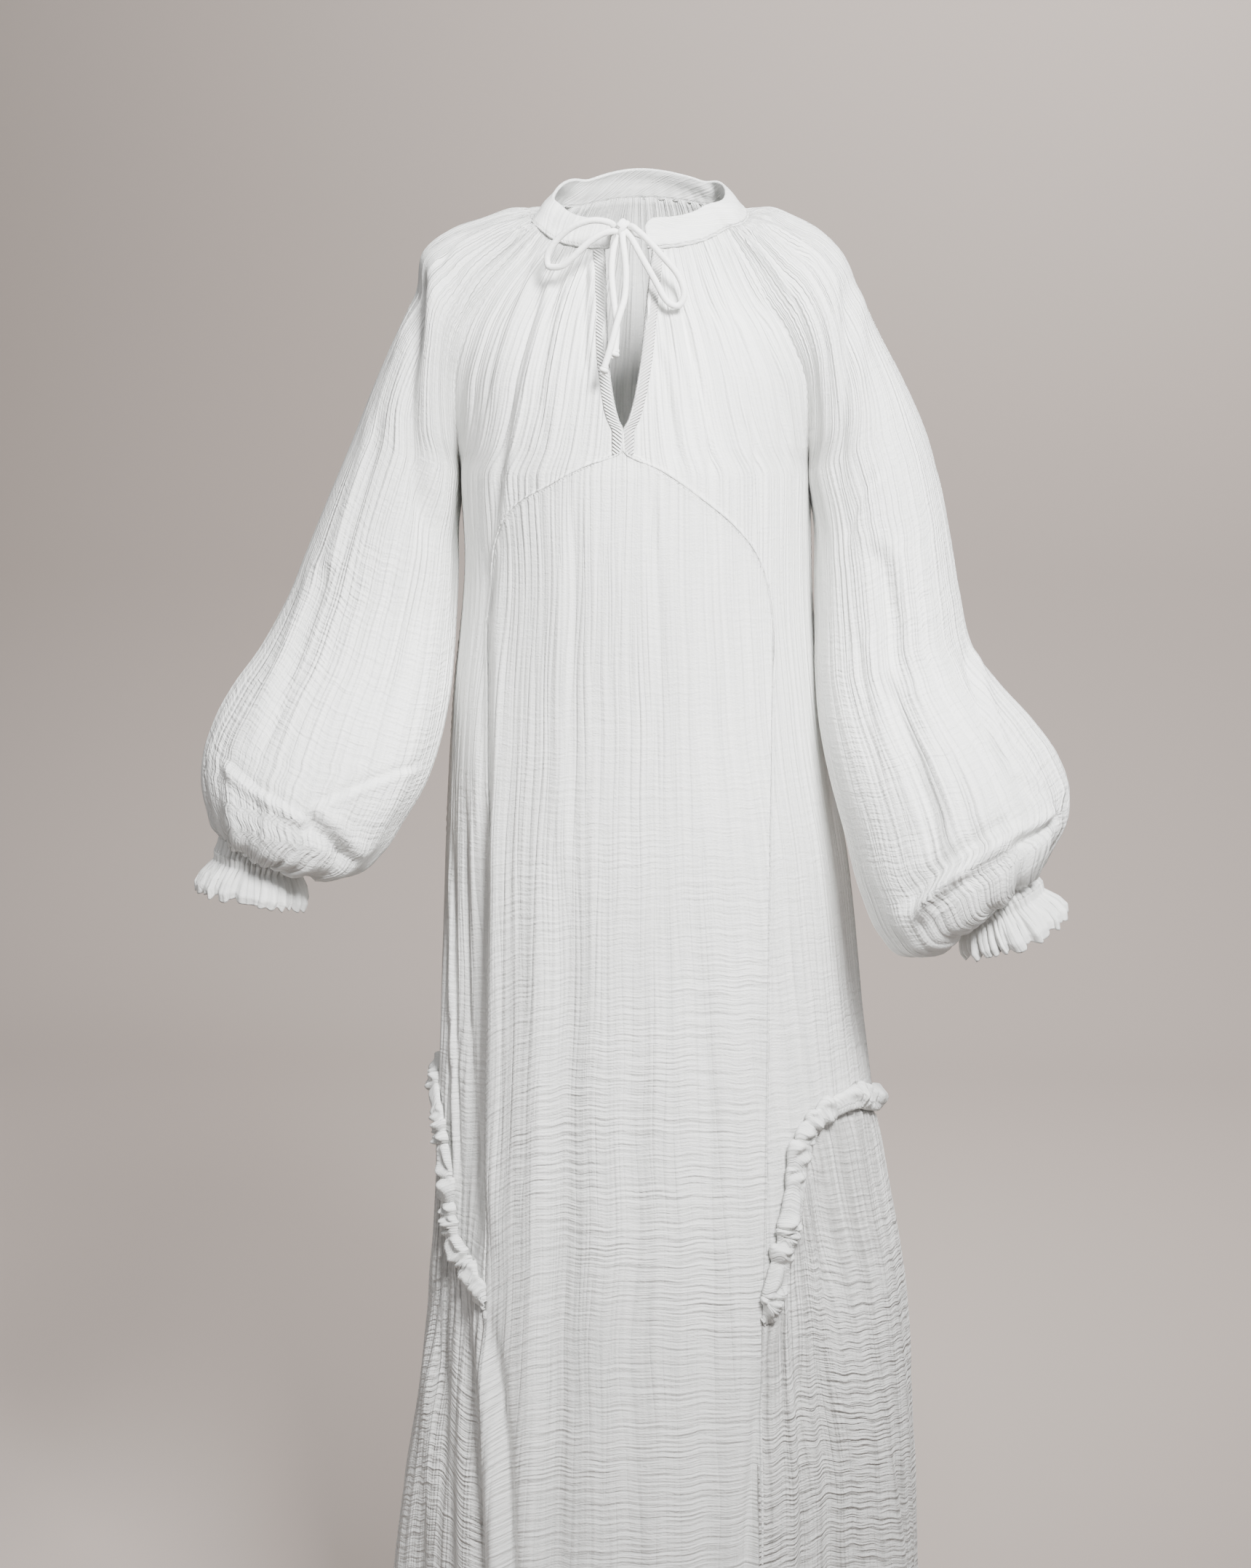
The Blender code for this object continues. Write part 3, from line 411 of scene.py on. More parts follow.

# Creases of the body: the face they lie on (-1 front, 1 back), the
# half width and depth of the trough, the height of the ridge beside it (above zero
# to the left of its way as seen from the front, else to the right), and the way as
# x, z pairs
BODY_CREASES = (
    (-1, 0.0052, 0.0048, 0.0034,
     ((-0.066, -0.044), (-0.086, -0.121), (-0.102, -0.199), (-0.114, -0.280))),
    (-1, 0.0066, 0.0050, 0.0030,
     ((-0.112, -0.270), (-0.120, -0.368), (-0.120, -0.460), (-0.124, -0.560))),
    (-1, 0.0070, 0.0074, 0.0040,
     ((-0.122, -0.480), (-0.126, -0.679), (-0.128, -0.808), (-0.122, -0.906))),
    (-1, 0.0034, 0.0030, 0.0018,
     ((-0.077, -0.036), (-0.098, -0.087), (-0.111, -0.128), (-0.121, -0.176))),
    (-1, 0.0030, 0.0022, -0.0012,
     ((-0.078, -0.040), (-0.106, -0.082), (-0.124, -0.130), (-0.134, -0.190))),
    (-1, 0.0030, 0.0026, 0.0016,
     ((-0.035, -0.040), (-0.034, -0.087), (-0.032, -0.144))),
    (-1, 0.0028, 0.0022, -0.0014,
     ((-0.026, -0.040), (-0.021, -0.070), (-0.017, -0.105))),
    (-1, 0.0046, 0.0018, 0.0014,
     ((-0.056, -0.046), (-0.066, -0.128), (-0.071, -0.197))),
    (-1, 0.0036, 0.0044, -0.0020,
     ((0.040, -0.042), (0.050, -0.105), (0.060, -0.140), (0.069, -0.181), (0.073, -0.242))),
    (-1, 0.0034, 0.0036, 0.0018,
     ((0.027, -0.110), (0.035, -0.155), (0.041, -0.187), (0.045, -0.218))),
    (-1, 0.0028, 0.0024, -0.0014,
     ((0.069, -0.033), (0.084, -0.077), (0.096, -0.128), (0.103, -0.169), (0.110, -0.270))),
    (-1, 0.0030, 0.0020, 0.0012,
     ((0.075, -0.030), (0.095, -0.062), (0.114, -0.107), (0.126, -0.160), (0.130, -0.230))),
    (-1, 0.0026, 0.0016, 0.0010,
     ((0.055, -0.040), (0.066, -0.080), (0.078, -0.130), (0.086, -0.190))),
    (-1, 0.0052, 0.0034, -0.0016,
     ((-0.038, -0.225), (-0.041, -0.300), (-0.042, -0.424), (-0.044, -0.560))),
    (-1, 0.0130, 0.0058, -0.0036,
     ((-0.043, -0.480), (-0.048, -0.680), (-0.052, -0.861), (-0.056, -1.080), (-0.060, -1.390))),
    (-1, 0.0120, 0.0034, 0.0024,
     ((0.066, -0.560), (0.072, -0.780), (0.076, -1.050), (0.078, -1.390))),
    (-1, 0.0140, 0.0026, 0.0016,
     ((0.008, -0.600), (0.012, -0.860), (0.010, -1.100), (0.014, -1.390))),
    (-1, 0.0036, 0.0024, 0.0012,
     ((0.021, -0.205), (0.024, -0.250), (0.029, -0.320), (0.030, -0.390), (0.025, -0.480))),
    (-1, 0.0060, 0.0080, -0.0040,
     ((-0.116, -0.925), (-0.104, -1.015), (-0.094, -1.150), (-0.088, -1.390))),
    (-1, 0.0070, 0.0080, 0.0044,
     ((-0.137, -0.935), (-0.132, -1.047), (-0.124, -1.165), (-0.120, -1.390))),
    (-1, 0.0080, 0.0060, -0.0040,
     ((-0.163, -0.950), (-0.160, -1.070), (-0.156, -1.180), (-0.154, -1.390))),
    (-1, 0.0060, 0.0070, 0.0040,
     ((0.125, -0.940), (0.115, -1.040), (0.108, -1.143), (0.102, -1.390))),
    (-1, 0.0060, 0.0074, -0.0044,
     ((0.150, -0.935), (0.155, -1.045), (0.157, -1.148), (0.158, -1.390))),
    (-1, 0.0070, 0.0050, 0.0030,
     ((0.169, -0.900), (0.174, -1.049), (0.180, -1.152), (0.188, -1.390))),
    (-1, 0.0046, 0.0034, -0.0018,
     ((0.165, -0.800), (0.168, -0.850), (0.176, -0.920))),
    (-1, 0.0026, 0.0034, -0.0012,
     ((-0.153, -0.520), (-0.152, -0.680), (-0.148, -0.818), (-0.146, -0.880))),
    (-1, 0.0026, 0.0036, 0.0012,
     ((-0.140, -0.480), (-0.139, -0.660), (-0.134, -0.811), (-0.130, -0.890))),
    (-1, 0.0024, 0.0030, 0.0010,
     ((-0.161, -0.540), (-0.160, -0.660), (-0.157, -0.780), (-0.154, -0.850))),
    (1, 0.0050, 0.0034, 0.0020,
     ((-0.050, 0.004), (-0.064, -0.060), (-0.078, -0.160), (-0.086, -0.280))),
    (1, 0.0046, 0.0036, -0.0020,
     ((0.030, 0.008), (0.036, -0.060), (0.046, -0.170), (0.050, -0.300))),
    (1, 0.0060, 0.0040, 0.0020,
     ((-0.006, 0.004), (-0.008, -0.120), (-0.004, -0.280), (0.004, -0.460))),
    (1, 0.0056, 0.0040, -0.0020,
     ((0.090, -0.240), (0.100, -0.400), (0.104, -0.560), (0.108, -0.740))),
    (1, 0.0060, 0.0042, 0.0022,
     ((-0.096, -0.300), (-0.104, -0.460), (-0.108, -0.640))),
    (1, 0.0080, 0.0050, 0.0030,
     ((-0.050, -0.520), (-0.056, -0.800), (-0.060, -1.100), (-0.064, -1.390))),
    (1, 0.0076, 0.0048, -0.0030,
     ((0.066, -0.560), (0.074, -0.860), (0.082, -1.140), (0.088, -1.390))),
    (1, 0.0090, 0.0060, 0.0034,
     ((0.006, -0.700), (0.010, -0.940), (0.006, -1.180), (0.004, -1.390))),
    (1, 0.0110, 0.0080, 0.0040,
     ((0.150, -0.850), (0.160, -1.020), (0.172, -1.200), (0.180, -1.390))),
    (1, 0.0110, 0.0080, -0.0040,
     ((-0.132, -0.850), (-0.140, -1.020), (-0.150, -1.200), (-0.158, -1.390))),
)

# Creases of the wearer's right and left sleeve, in the same columns
RIGHT_SLEEVE_CREASES = (
    (-1, 0.0075, 0.0085, 0.0040,
     ((-0.176, -0.030), (-0.179, -0.103), (-0.183, -0.152), (-0.181, -0.205), (-0.172, -0.292))),
    (-1, 0.0050, 0.0026, -0.0016,
     ((-0.208, -0.160), (-0.218, -0.212), (-0.234, -0.266), (-0.253, -0.315))),
    (-1, 0.0060, 0.0050, -0.0030,
     ((-0.252, -0.285), (-0.266, -0.330), (-0.284, -0.390), (-0.303, -0.455))),
    (-1, 0.0030, 0.0026, 0.0018,
     ((-0.166, -0.458), (-0.200, -0.466), (-0.232, -0.477), (-0.264, -0.488))),
    (-1, 0.0034, 0.0030, -0.0050,
     ((-0.335, -0.448), (-0.310, -0.466), (-0.272, -0.485), (-0.238, -0.505))),
    (-1, 0.0060, 0.0080, 0.0040,
     ((-0.262, -0.496), (-0.250, -0.505), (-0.236, -0.520), (-0.226, -0.542))),
    (-1, 0.0030, 0.0034, 0.0026,
     ((-0.254, -0.500), (-0.262, -0.516), (-0.272, -0.534))),
    (-1, 0.0030, 0.0024, 0.0014,
     ((-0.082, -0.010), (-0.106, -0.022), (-0.134, -0.044), (-0.154, -0.080))),
    (-1, 0.0028, 0.0022, -0.0014,
     ((-0.080, -0.016), (-0.100, -0.034), (-0.124, -0.062), (-0.146, -0.110))),
    (-1, 0.0030, 0.0020, 0.0012,
     ((-0.086, -0.004), (-0.116, -0.010), (-0.146, -0.026), (-0.166, -0.060))),
    (-1, 0.0032, 0.0020, 0.0014,
     ((-0.300, -0.478), (-0.296, -0.500), (-0.300, -0.520))),
    (-1, 0.0050, 0.0022, 0.0016,
     ((-0.196, -0.300), (-0.204, -0.350), (-0.220, -0.410))),
    (1, 0.0070, 0.0070, -0.0040,
     ((-0.176, -0.040), (-0.180, -0.120), (-0.186, -0.200), (-0.190, -0.280))),
    (1, 0.0060, 0.0044, 0.0026,
     ((-0.214, -0.170), (-0.232, -0.250), (-0.262, -0.330), (-0.292, -0.400))),
    (1, 0.0046, 0.0036, 0.0024,
     ((-0.180, -0.440), (-0.220, -0.456), (-0.266, -0.452))),
    (1, 0.0050, 0.0034, -0.0020,
     ((-0.200, -0.320), (-0.230, -0.390), (-0.268, -0.470))),
)
LEFT_SLEEVE_CREASES = (
    (-1, 0.0056, 0.0036, 0.0022,
     ((0.178, -0.050), (0.180, -0.116), (0.178, -0.164), (0.176, -0.235))),
    (-1, 0.0036, 0.0026, 0.0018,
     ((0.208, -0.212), (0.191, -0.242), (0.181, -0.278))),
    (-1, 0.0075, 0.0062, 0.0026,
     ((0.204, -0.270), (0.214, -0.305), (0.221, -0.350), (0.221, -0.390))),
    (-1, 0.0085, 0.0070, 0.0030,
     ((0.220, -0.375), (0.228, -0.413), (0.243, -0.462), (0.253, -0.495), (0.254, -0.535))),
    (-1, 0.0044, 0.0036, 0.0030,
     ((0.278, -0.355), (0.293, -0.411), (0.304, -0.450), (0.310, -0.486))),
    (-1, 0.0062, 0.0080, -0.0095,
     ((0.228, -0.574), (0.246, -0.545), (0.274, -0.519), (0.300, -0.500), (0.322, -0.486))),
    (-1, 0.0040, 0.0070, 0.0050,
     ((0.314, -0.512), (0.338, -0.503), (0.360, -0.490))),
    (-1, 0.0034, 0.0044, 0.0034,
     ((0.252, -0.566), (0.268, -0.548), (0.290, -0.532))),
    (-1, 0.0040, 0.0018, 0.0012,
     ((0.314, -0.459), (0.326, -0.466), (0.344, -0.476))),
    (-1, 0.0030, 0.0024, 0.0014,
     ((0.096, -0.012), (0.118, -0.020), (0.142, -0.042), (0.160, -0.072), (0.172, -0.100))),
    (-1, 0.0028, 0.0020, -0.0012,
     ((0.094, -0.018), (0.112, -0.034), (0.130, -0.060), (0.148, -0.104))),
    (-1, 0.0028, 0.0018, 0.0012,
     ((0.100, -0.008), (0.130, -0.014), (0.158, -0.030), (0.176, -0.056))),
    (-1, 0.0040, 0.0022, 0.0014,
     ((0.190, -0.340), (0.198, -0.400), (0.214, -0.470))),
    (1, 0.0060, 0.0044, -0.0024,
     ((0.176, -0.050), (0.184, -0.140), (0.190, -0.230))),
    (1, 0.0070, 0.0056, 0.0030,
     ((0.206, -0.240), (0.222, -0.340), (0.250, -0.430), (0.276, -0.500))),
    (1, 0.0050, 0.0038, -0.0024,
     ((0.262, -0.300), (0.286, -0.390), (0.306, -0.460))),
    (1, 0.0044, 0.0034, 0.0022,
     ((0.210, -0.470), (0.240, -0.500), (0.286, -0.506))),
)

# The routes of the two ties, from the end of the band through the knot, round the
# loop, back through the knot and down to the free end
TIE_RIGHT = (
    (-0.0142, -0.0640, -0.0215),
    (-0.0135, -0.0690, -0.0212),
    (-0.0126, -0.0760, -0.0206),
    (-0.0115, -0.0820, -0.0202),
    (-0.0105, -0.0870, -0.0196),
    (-0.0108, -0.0930, -0.0166),
    (-0.0250, -0.0960, -0.0135),
    (-0.0400, -0.0950, -0.0170),
    (-0.0560, -0.0915, -0.0280),
    (-0.0655, -0.0900, -0.0420),
    (-0.0635, -0.0920, -0.0510),
    (-0.0540, -0.0950, -0.0510),
    (-0.0420, -0.0975, -0.0420),
    (-0.0270, -0.0985, -0.0290),
    (-0.0130, -0.0960, -0.0225),
    (-0.0060, -0.0920, -0.0225),
    (-0.0066, -0.0926, -0.0274),
    (-0.0105, -0.0975, -0.0370),
    (-0.0112, -0.1055, -0.0560),
    (-0.0085, -0.1130, -0.0790),
    (-0.0055, -0.1195, -0.1000),
    (-0.0066, -0.1246, -0.1195),
)
TIE_LEFT = (
    (0.0150, -0.0650, -0.0262),
    (0.0146, -0.0700, -0.0262),
    (0.0120, -0.0765, -0.0252),
    (0.0072, -0.0823, -0.0239),
    (0.0024, -0.0876, -0.0215),
    (0.0036, -0.0940, -0.0178),
    (0.0150, -0.0985, -0.0270),
    (0.0300, -0.0995, -0.0430),
    (0.0435, -0.0990, -0.0590),
    (0.0480, -0.0995, -0.0730),
    (0.0425, -0.1010, -0.0830),
    (0.0345, -0.1020, -0.0800),
    (0.0240, -0.1015, -0.0620),
    (0.0110, -0.0980, -0.0400),
    (0.0030, -0.0935, -0.0262),
    (-0.0020, -0.0925, -0.0215),
    (-0.0030, -0.0964, -0.0262),
    (-0.0012, -0.1030, -0.0380),
    (0.0012, -0.1110, -0.0560),
    (0.0010, -0.1170, -0.0740),
    (-0.0040, -0.1262, -0.0930),
    (-0.0085, -0.1318, -0.1120),
    (-0.0144, -0.1342, -0.1318),
)
TIE_KNOT = (-0.0040, -0.0905, -0.0200)
TIE_TIPS = {
    "tie_tip_right": (-0.0068, -0.1252, -0.1208),
    "tie_tip_left": (-0.0148, -0.1344, -0.1336),
}


# Curves and surfaces


def curve_between(knots, values, tangent, at):
    """Values read at places between the knots, on the curve that the tangents give."""
    i = np.clip(np.searchsorted(knots, at, "right") - 1, 0, len(knots) - 2)
    shape = np.shape(at) + (1,) * (values.ndim - 1)
    step = (knots[i + 1] - knots[i]).reshape(shape)
    t = (at - knots[i]).reshape(shape) / step
    start = (1 + 2 * t) * (1 - t) ** 2 * values[i] + t * (1 - t) ** 2 * step * tangent[i]
    end = t * t * (3 - 2 * t) * values[i + 1] - t * t * (1 - t) * step * tangent[i + 1]
    return start + end


def smooth(table, key, name, at):
    """A column read along the key column, on a smooth curve that never overshoots."""
    order = np.argsort(table[key])
    x, y = table[key][order], table[name][order]
    slope = np.diff(y) / np.diff(x)
    tangent = np.concatenate([slope[:1], np.zeros(len(x) - 2), slope[-1:]])
    product, total = slope[:-1] * slope[1:], slope[:-1] + slope[1:]
    rising = product > 0
    tangent[1:-1][rising] = 2 * product[rising] / total[rising]
    return curve_between(x, y, tangent, np.clip(at, x[0], x[-1]))


def eased(t):
    """0 up to 1 with a soft start and end."""
    t = np.clip(t, 0.0, 1.0)
    return t * t * (3 - 2 * t)


def unit(vectors):
    """Vectors brought to a length of one."""
    return vectors / np.maximum(np.linalg.norm(vectors, axis=-1, keepdims=True), 1e-9)


def between(start, end, steps):
    """Even places from a start to an end, both included."""
    return np.linspace(start, end, steps + 1)


def rows_between(values, knots, at):
    """Rows of a table read between its rows, on a smooth curve through them."""
    return curve_between(knots, values, np.gradient(values, knots, axis=0), at)


def travelled(points, axis):
    """The way along a grid of points, from its first row or column."""
    step = np.linalg.norm(np.diff(points, axis=axis), axis=-1)
    pad = [(0, 0), (0, 0)]
    pad[axis] = (1, 0)
    return np.cumsum(np.pad(step, pad), axis=axis)


def lengths(line):
    """The way along a line of points from its start."""
    return travelled(line[None], 1)[0]


def smooth_line(points, count):
    """A line of many points through a few given ones."""
    points = np.array(points)
    at = np.linspace(0, len(points) - 1, count)
    knots = np.arange(len(points), dtype=float)
    axes = [smooth({"at": knots, "value": values}, "at", "value", at) for values in points.T]
    return np.stack(axes, -1)


def evenly(points, steps):
    """A line of points read again at even distances."""
    length = lengths(points)
    at = np.linspace(0, length[-1], steps + 1)
    return np.stack([np.interp(at, length, points[:, axis]) for axis in range(3)], -1)


def softened(line, times):
    """A line with its corners averaged away, its two ends kept."""
    for _ in range(times):
        line[1:-1] = (line[:-2] + 2 * line[1:-1] + line[2:]) / 4
    return line


def fold_offset(share, z, face):
    """How far the large folds move the body outwards."""
    total = np.zeros(np.broadcast(share, z, face).shape)
    for row in range(len(FOLDS["share"])):
        fold = {name: column[row] for name, column in FOLDS.items()}
        across = np.exp(-(((share - fold["share"]) / fold["spread"]) ** 2))
        length = fold["top"] - fold["bottom"]
        fade = eased((fold["top"] - z) / (0.4 * length))
        fade = fade * eased((z - fold["bottom"]) / (0.3 * length))
        total -= np.where(face == fold["face"], fold["depth"] * across * fade, 0.0)
    return total


def body_surface(share, z, face):
    """Points and outward directions of the body.

    A share runs from -1 at the right side seam, over 0 in the middle, to 1 at the
    left side seam. The face is -1 in front and 1 behind.
    """
    share, z, face = np.broadcast_arrays(np.asarray(share, float), z, face)
    read = {name: smooth(BODY, "z", name, z) for name in BODY if name != "z"}
    half = np.where(share > 0, read["left"], read["right"])
    depth = np.where(face < 0, read["front"], read["back"])
    edge = np.where(face < 0, read["front_edge"], read["back_edge"])
    turn = np.radians(read["turn"])
    wide = half / np.sin(turn)
    deep = (depth - edge) / (1 - np.cos(turn))
    angle = share * turn
    x = wide * np.sin(angle)
    y = face * (edge + deep * (np.cos(angle) - np.cos(turn)))
    outward = unit(np.stack([deep * np.sin(angle), face * wide * np.cos(angle), 0 * z], -1))
    points = np.stack([x, y, z], -1) + outward * fold_offset(share, z, face)[..., None]
    return points, outward


def share_at(x, z, side):
    """The signed share at a distance from the middle."""
    half = smooth(BODY, "z", SIDE_NAMES[side], z)
    turn = np.radians(smooth(BODY, "z", "turn", z))
    return side * np.arcsin(np.clip(x / half * np.sin(turn), 0, 1)) / turn


# Heights of the rows along each seam
SLIT_Z = np.concatenate([between(NECK_FRONT_Z, -0.155, 3), [-0.174, SLIT_END_Z, ARCH_PEAK_Z]])
PRINCESS_Z = between(ARCH_FOOT_Z, FRONT_RUFFLE_Z, PRINCESS_ROWS)
HEM_ROW_Z = between(FRONT_RUFFLE_Z, HEM_Z, HEM_ROWS)


def ruffle_seam(side):
    """Parts of the way and heights of the seam over one flounce."""
    return RUFFLE[SIDE_NAMES[side] + "_way"], RUFFLE[SIDE_NAMES[side] + "_z"]


def side_heights(side):
    """Heights of the rows along a side seam, below the underarm."""
    return between(UNDERARM_Z, ruffle_seam(side)[1][-1], SIDE_ROWS)[1:]


def front_grid(side):
    """Shares and heights of a side front."""
    slit_x = smooth(SLIT, "z", "half", SLIT_Z)
    inner_x = np.concatenate([slit_x, ARCH["x"][1:], np.full(PRINCESS_ROWS, PRINCESS_X)])
    arch_z = ARCH[SIDE_NAMES[side] + "_z"]
    inner_z = np.concatenate([SLIT_Z, arch_z[1:], PRINCESS_Z[1:]])
    inner_share = share_at(inner_x, inner_z, side)
    outer_z = np.concatenate([SLEEVE_HEAD["front_z"], side_heights(side)])
    seam_way, seam_z = ruffle_seam(side)
    u = between(0.0, 1.0, RUFFLE_STEPS)
    low = eased(between(-0.6, 1.0, len(inner_z) - 1))[:, None]
    top = eased(1 - between(0.0, 4.0, len(inner_z) - 1))[:, None]
    ruffle_rise = (seam_z - FRONT_RUFFLE_Z) / (seam_z[-1] - FRONT_RUFFLE_Z)
    way = low * seam_way + (1 - low) * u
    rise = low * ruffle_rise + (1 - low) * (top * u**2 + (1 - top) * u)
    share = inner_share[:, None] + (side - inner_share[:, None]) * way
    z = inner_z[:, None] + (outer_z - inner_z)[:, None] * rise
    return share, z


def panel_grid():
    """Shares and heights of the middle front, from the arch to the hem."""
    arch_x = np.concatenate([-ARCH["x"][:0:-1], [0.0], ARCH["x"][1:]])
    arch_z = np.concatenate([ARCH["right_z"][::-1], ARCH["left_z"][1:]])
    seam_z = np.concatenate([PRINCESS_Z, HEM_ROW_Z[1:]])
    low = (seam_z - seam_z[0]) / (HEM_Z - seam_z[0])
    z = seam_z[:, None] + (arch_z - arch_z[0]) * (1 - eased(2.2 * low))[:, None]
    even = between(-1.0, 1.0, 2 * ARCH_ROWS)
    spread = eased(1.6 * low)[:, None]
    x = PRINCESS_X * (spread * even + (1 - spread) * arch_x / PRINCESS_X)
    share = np.where(x < 0, share_at(np.abs(x), z, -1), share_at(np.abs(x), z, 1))
    return share, z


def ruffle_shares(side):
    """Shares and heights of the seam over a flounce, from the long seam to the side."""
    start = share_at(PRINCESS_X, FRONT_RUFFLE_Z, side)
    seam_way, seam_z = ruffle_seam(side)
    return start + (side - start) * seam_way, seam_z


def back_grid():
    """Shares and heights of the back: neck, raglan and side seams, cut-outs, hem."""
    edges = {}
    edge_z = {}
    for side in (-1, 1):
        cut_share, cut_z = ruffle_shares(side)
        straight = np.full(RAGLAN_ROWS + SIDE_ROWS + 1, float(side))
        hem_share = share_at(PRINCESS_X, HEM_ROW_Z[1:], side)
        edges[side] = np.concatenate([straight, cut_share[-2::-1], hem_share])
        heights = (SLEEVE_HEAD["back_z"], side_heights(side), cut_z[-2::-1], HEM_ROW_Z[1:])
        edge_z[side] = np.concatenate(heights)
    upper = RAGLAN_ROWS + SIDE_ROWS
    middle_z = edge_z[1].copy()
    middle_z[: RAGLAN_ROWS + 1] = between(NECK_BACK_Z, UNDERARM_Z, RAGLAN_ROWS)
    middle_z[RAGLAN_ROWS : upper + 1] = between(UNDERARM_Z, BACK_CREST_Z, SIDE_ROWS)
    middle_z[upper : upper + RUFFLE_STEPS + 1] = between(BACK_CREST_Z, FRONT_RUFFLE_Z, RUFFLE_STEPS)
    u = between(-1.0, 1.0, BACK_COLUMNS)
    share = np.where(u < 0, -edges[-1][:, None] * u, edges[1][:, None] * u)
    side_z = np.where(u < 0, edge_z[-1][:, None], edge_z[1][:, None])
    z = middle_z[:, None] + (side_z - middle_z[:, None]) * u**2
    return share, z


def flounce_grid(side):
    """Shares, heights, faces and swing of a flounce, from its front seam to its back one."""
    cut_share, cut_z = ruffle_shares(side)
    seam_way, _ = ruffle_seam(side)
    way = np.concatenate([seam_way, seam_way[-2::-1]])
    even = 1 - np.abs(between(-1.0, 1.0, 2 * RUFFLE_STEPS))
    top_z = np.concatenate([cut_z, cut_z[-2::-1]])
    face = np.where(np.arange(len(way)) <= RUFFLE_STEPS, -1.0, 1.0)
    down = (HEM_ROW_Z - FRONT_RUFFLE_Z)[:, None] / (HEM_Z - FRONT_RUFFLE_Z)
    spread = eased(1.2 * down)
    seam_share = share_at(PRINCESS_X, HEM_ROW_Z, side)[:, None]
    share = seam_share + (side - seam_share) * (spread * even + (1 - spread) * way)
    z = top_z + (HEM_Z - top_z) * down
    swing = FLOUNCE_SWING * spread * np.sin(np.pi * even) ** 2 * np.cos(3 * np.pi * even)
    return share, z, face, swing


def even_places(points, axis, count):
    """Knots of a coarse grid along one axis, and places an even way apart on them."""
    knots = travelled(points, axis).mean(1 - axis)
    return knots, np.linspace(0, knots[-1], count)


def finer(points, values, size):
    """Values on a coarse grid of points read on a fine one, with its column knots and places."""
    rows, row_places = even_places(points, 0, size[0])
    knots, places = even_places(points, 1, size[1])
    fine = rows_between(values, rows, row_places)
    fine = rows_between(fine.transpose(1, 0, 2), knots, places).transpose(1, 0, 2)
    return fine, knots, places


def fine_body(share, z, face, size):
    """A coarse grid of shares and heights read again finely: points, outwards and shares."""
    coarse, _ = body_surface(share, z, face)
    fine, _, _ = finer(coarse, np.stack([share, z], -1), size)
    fine_share = np.clip(fine[..., 0], -1, 1)
    points, outward = body_surface(fine_share, fine[..., 1], face)
    return points, outward, fine_share


# Relief of the cloth


def along_way(points, way):
    """Distances of points from a route in the picture plane: signed, and the part of the way."""
    fine = smooth_line(way, 10 * len(way))
    length = lengths(fine)
    flat = points[..., (0, 2)].reshape(-1, 2)
    best = np.full(len(flat), 1e9)
    signed = np.zeros(len(flat))
    part = np.zeros(len(flat))
    for i in range(len(fine) - 1):
        step = fine[i + 1] - fine[i]
        reach = step @ step
        t = np.clip((flat - fine[i]) @ step / reach, 0, 1)
        gap = flat - fine[i] - t[:, None] * step
        distance = np.linalg.norm(gap, axis=1)
        nearer = distance < best
        best = np.where(nearer, distance, best)
        turn = np.sign(gap[:, 1] * step[0] - gap[:, 0] * step[1])
        signed = np.where(nearer, turn * distance, signed)
        part = np.where(nearer, (length[i] + t * np.sqrt(reach)) / length[-1], part)
    shape = points.shape[:-1]
    return signed.reshape(shape), part.reshape(shape)


def crease_relief(points, outward, creases):
    """Troughs with a soft ridge beside them, each on the face it belongs to."""
    total = np.zeros(points.shape[:-1])
    for face, width, depth, ridge, way in creases:
        ends = np.array(way)
        reach = CREASE_REACH * width
        low, high = ends.min(0) - reach, ends.max(0) + reach
        inside = ((points[..., (0, 2)] > low) & (points[..., (0, 2)] < high)).all(-1)
        inside &= outward[..., 1] * face > 0
        if not inside.any():
            continue
        signed, part = along_way(points[inside], way)
        fade = eased(part / CREASE_START) * eased((1 - part) / CREASE_END)
        facing = eased(outward[inside][:, 1] * face / CREASE_FACING)
        beside = signed * np.sign(ridge) / width
        trough = -depth * np.exp(-((signed / width) ** 2))
        form = trough + abs(ridge) * np.exp(-((beside - RIDGE_ASIDE) ** 2))
        total[inside] += form * fade * facing
    return total


def turned(at):
    """The sine of a place counted in whole turns."""
    return np.sin(2 * np.pi * at)


def waves(at, count, seed):
    """Uneven waves from -1 to 1 along a place from 0 to 1."""
    chance = np.random.default_rng(seed)
    bend = sum(
        chance.uniform(0.4, 1.0) * turned(k * at + chance.random()) / k for k in (1, 2, 3, 5)
    )
    strength = 0.7 + 0.3 * turned(chance.uniform(2, 5) * at + chance.random())
    return strength * np.cos(2 * np.pi * (count * at + 0.35 * bend + chance.random()))


def pleated(wave):
    """Soft ridges with narrow valleys between them, from waves."""
    return 2 * np.abs(wave) ** 0.6 - 1


def gather_relief(piece, at, down, side=0):
    """Pleats that start at a seam and merge into fewer, wider ones further down."""
    count, height, seed, reach = GATHERS[piece]
    seed += side
    down = down / reach
    tight = pleated(waves(at, 0.6 * count, seed)) * np.exp(-down / TIGHT_FALL)
    middle = pleated(waves(at, 0.35 * count, seed + 1)) * np.exp(-down / MIDDLE_FALL)
    wide = waves(at, 0.27 * count, seed + 2) * np.exp(-down / WIDE_FALL) * 0.8
    middle *= 0.65 + 0.35 * turned(3.3 * at + 0.1 * seed)
    start = eased(down / 0.006)
    return height * start * (0.7 * tight + (0.9 * middle + 0.8 * wide) * eased(down / 0.030))


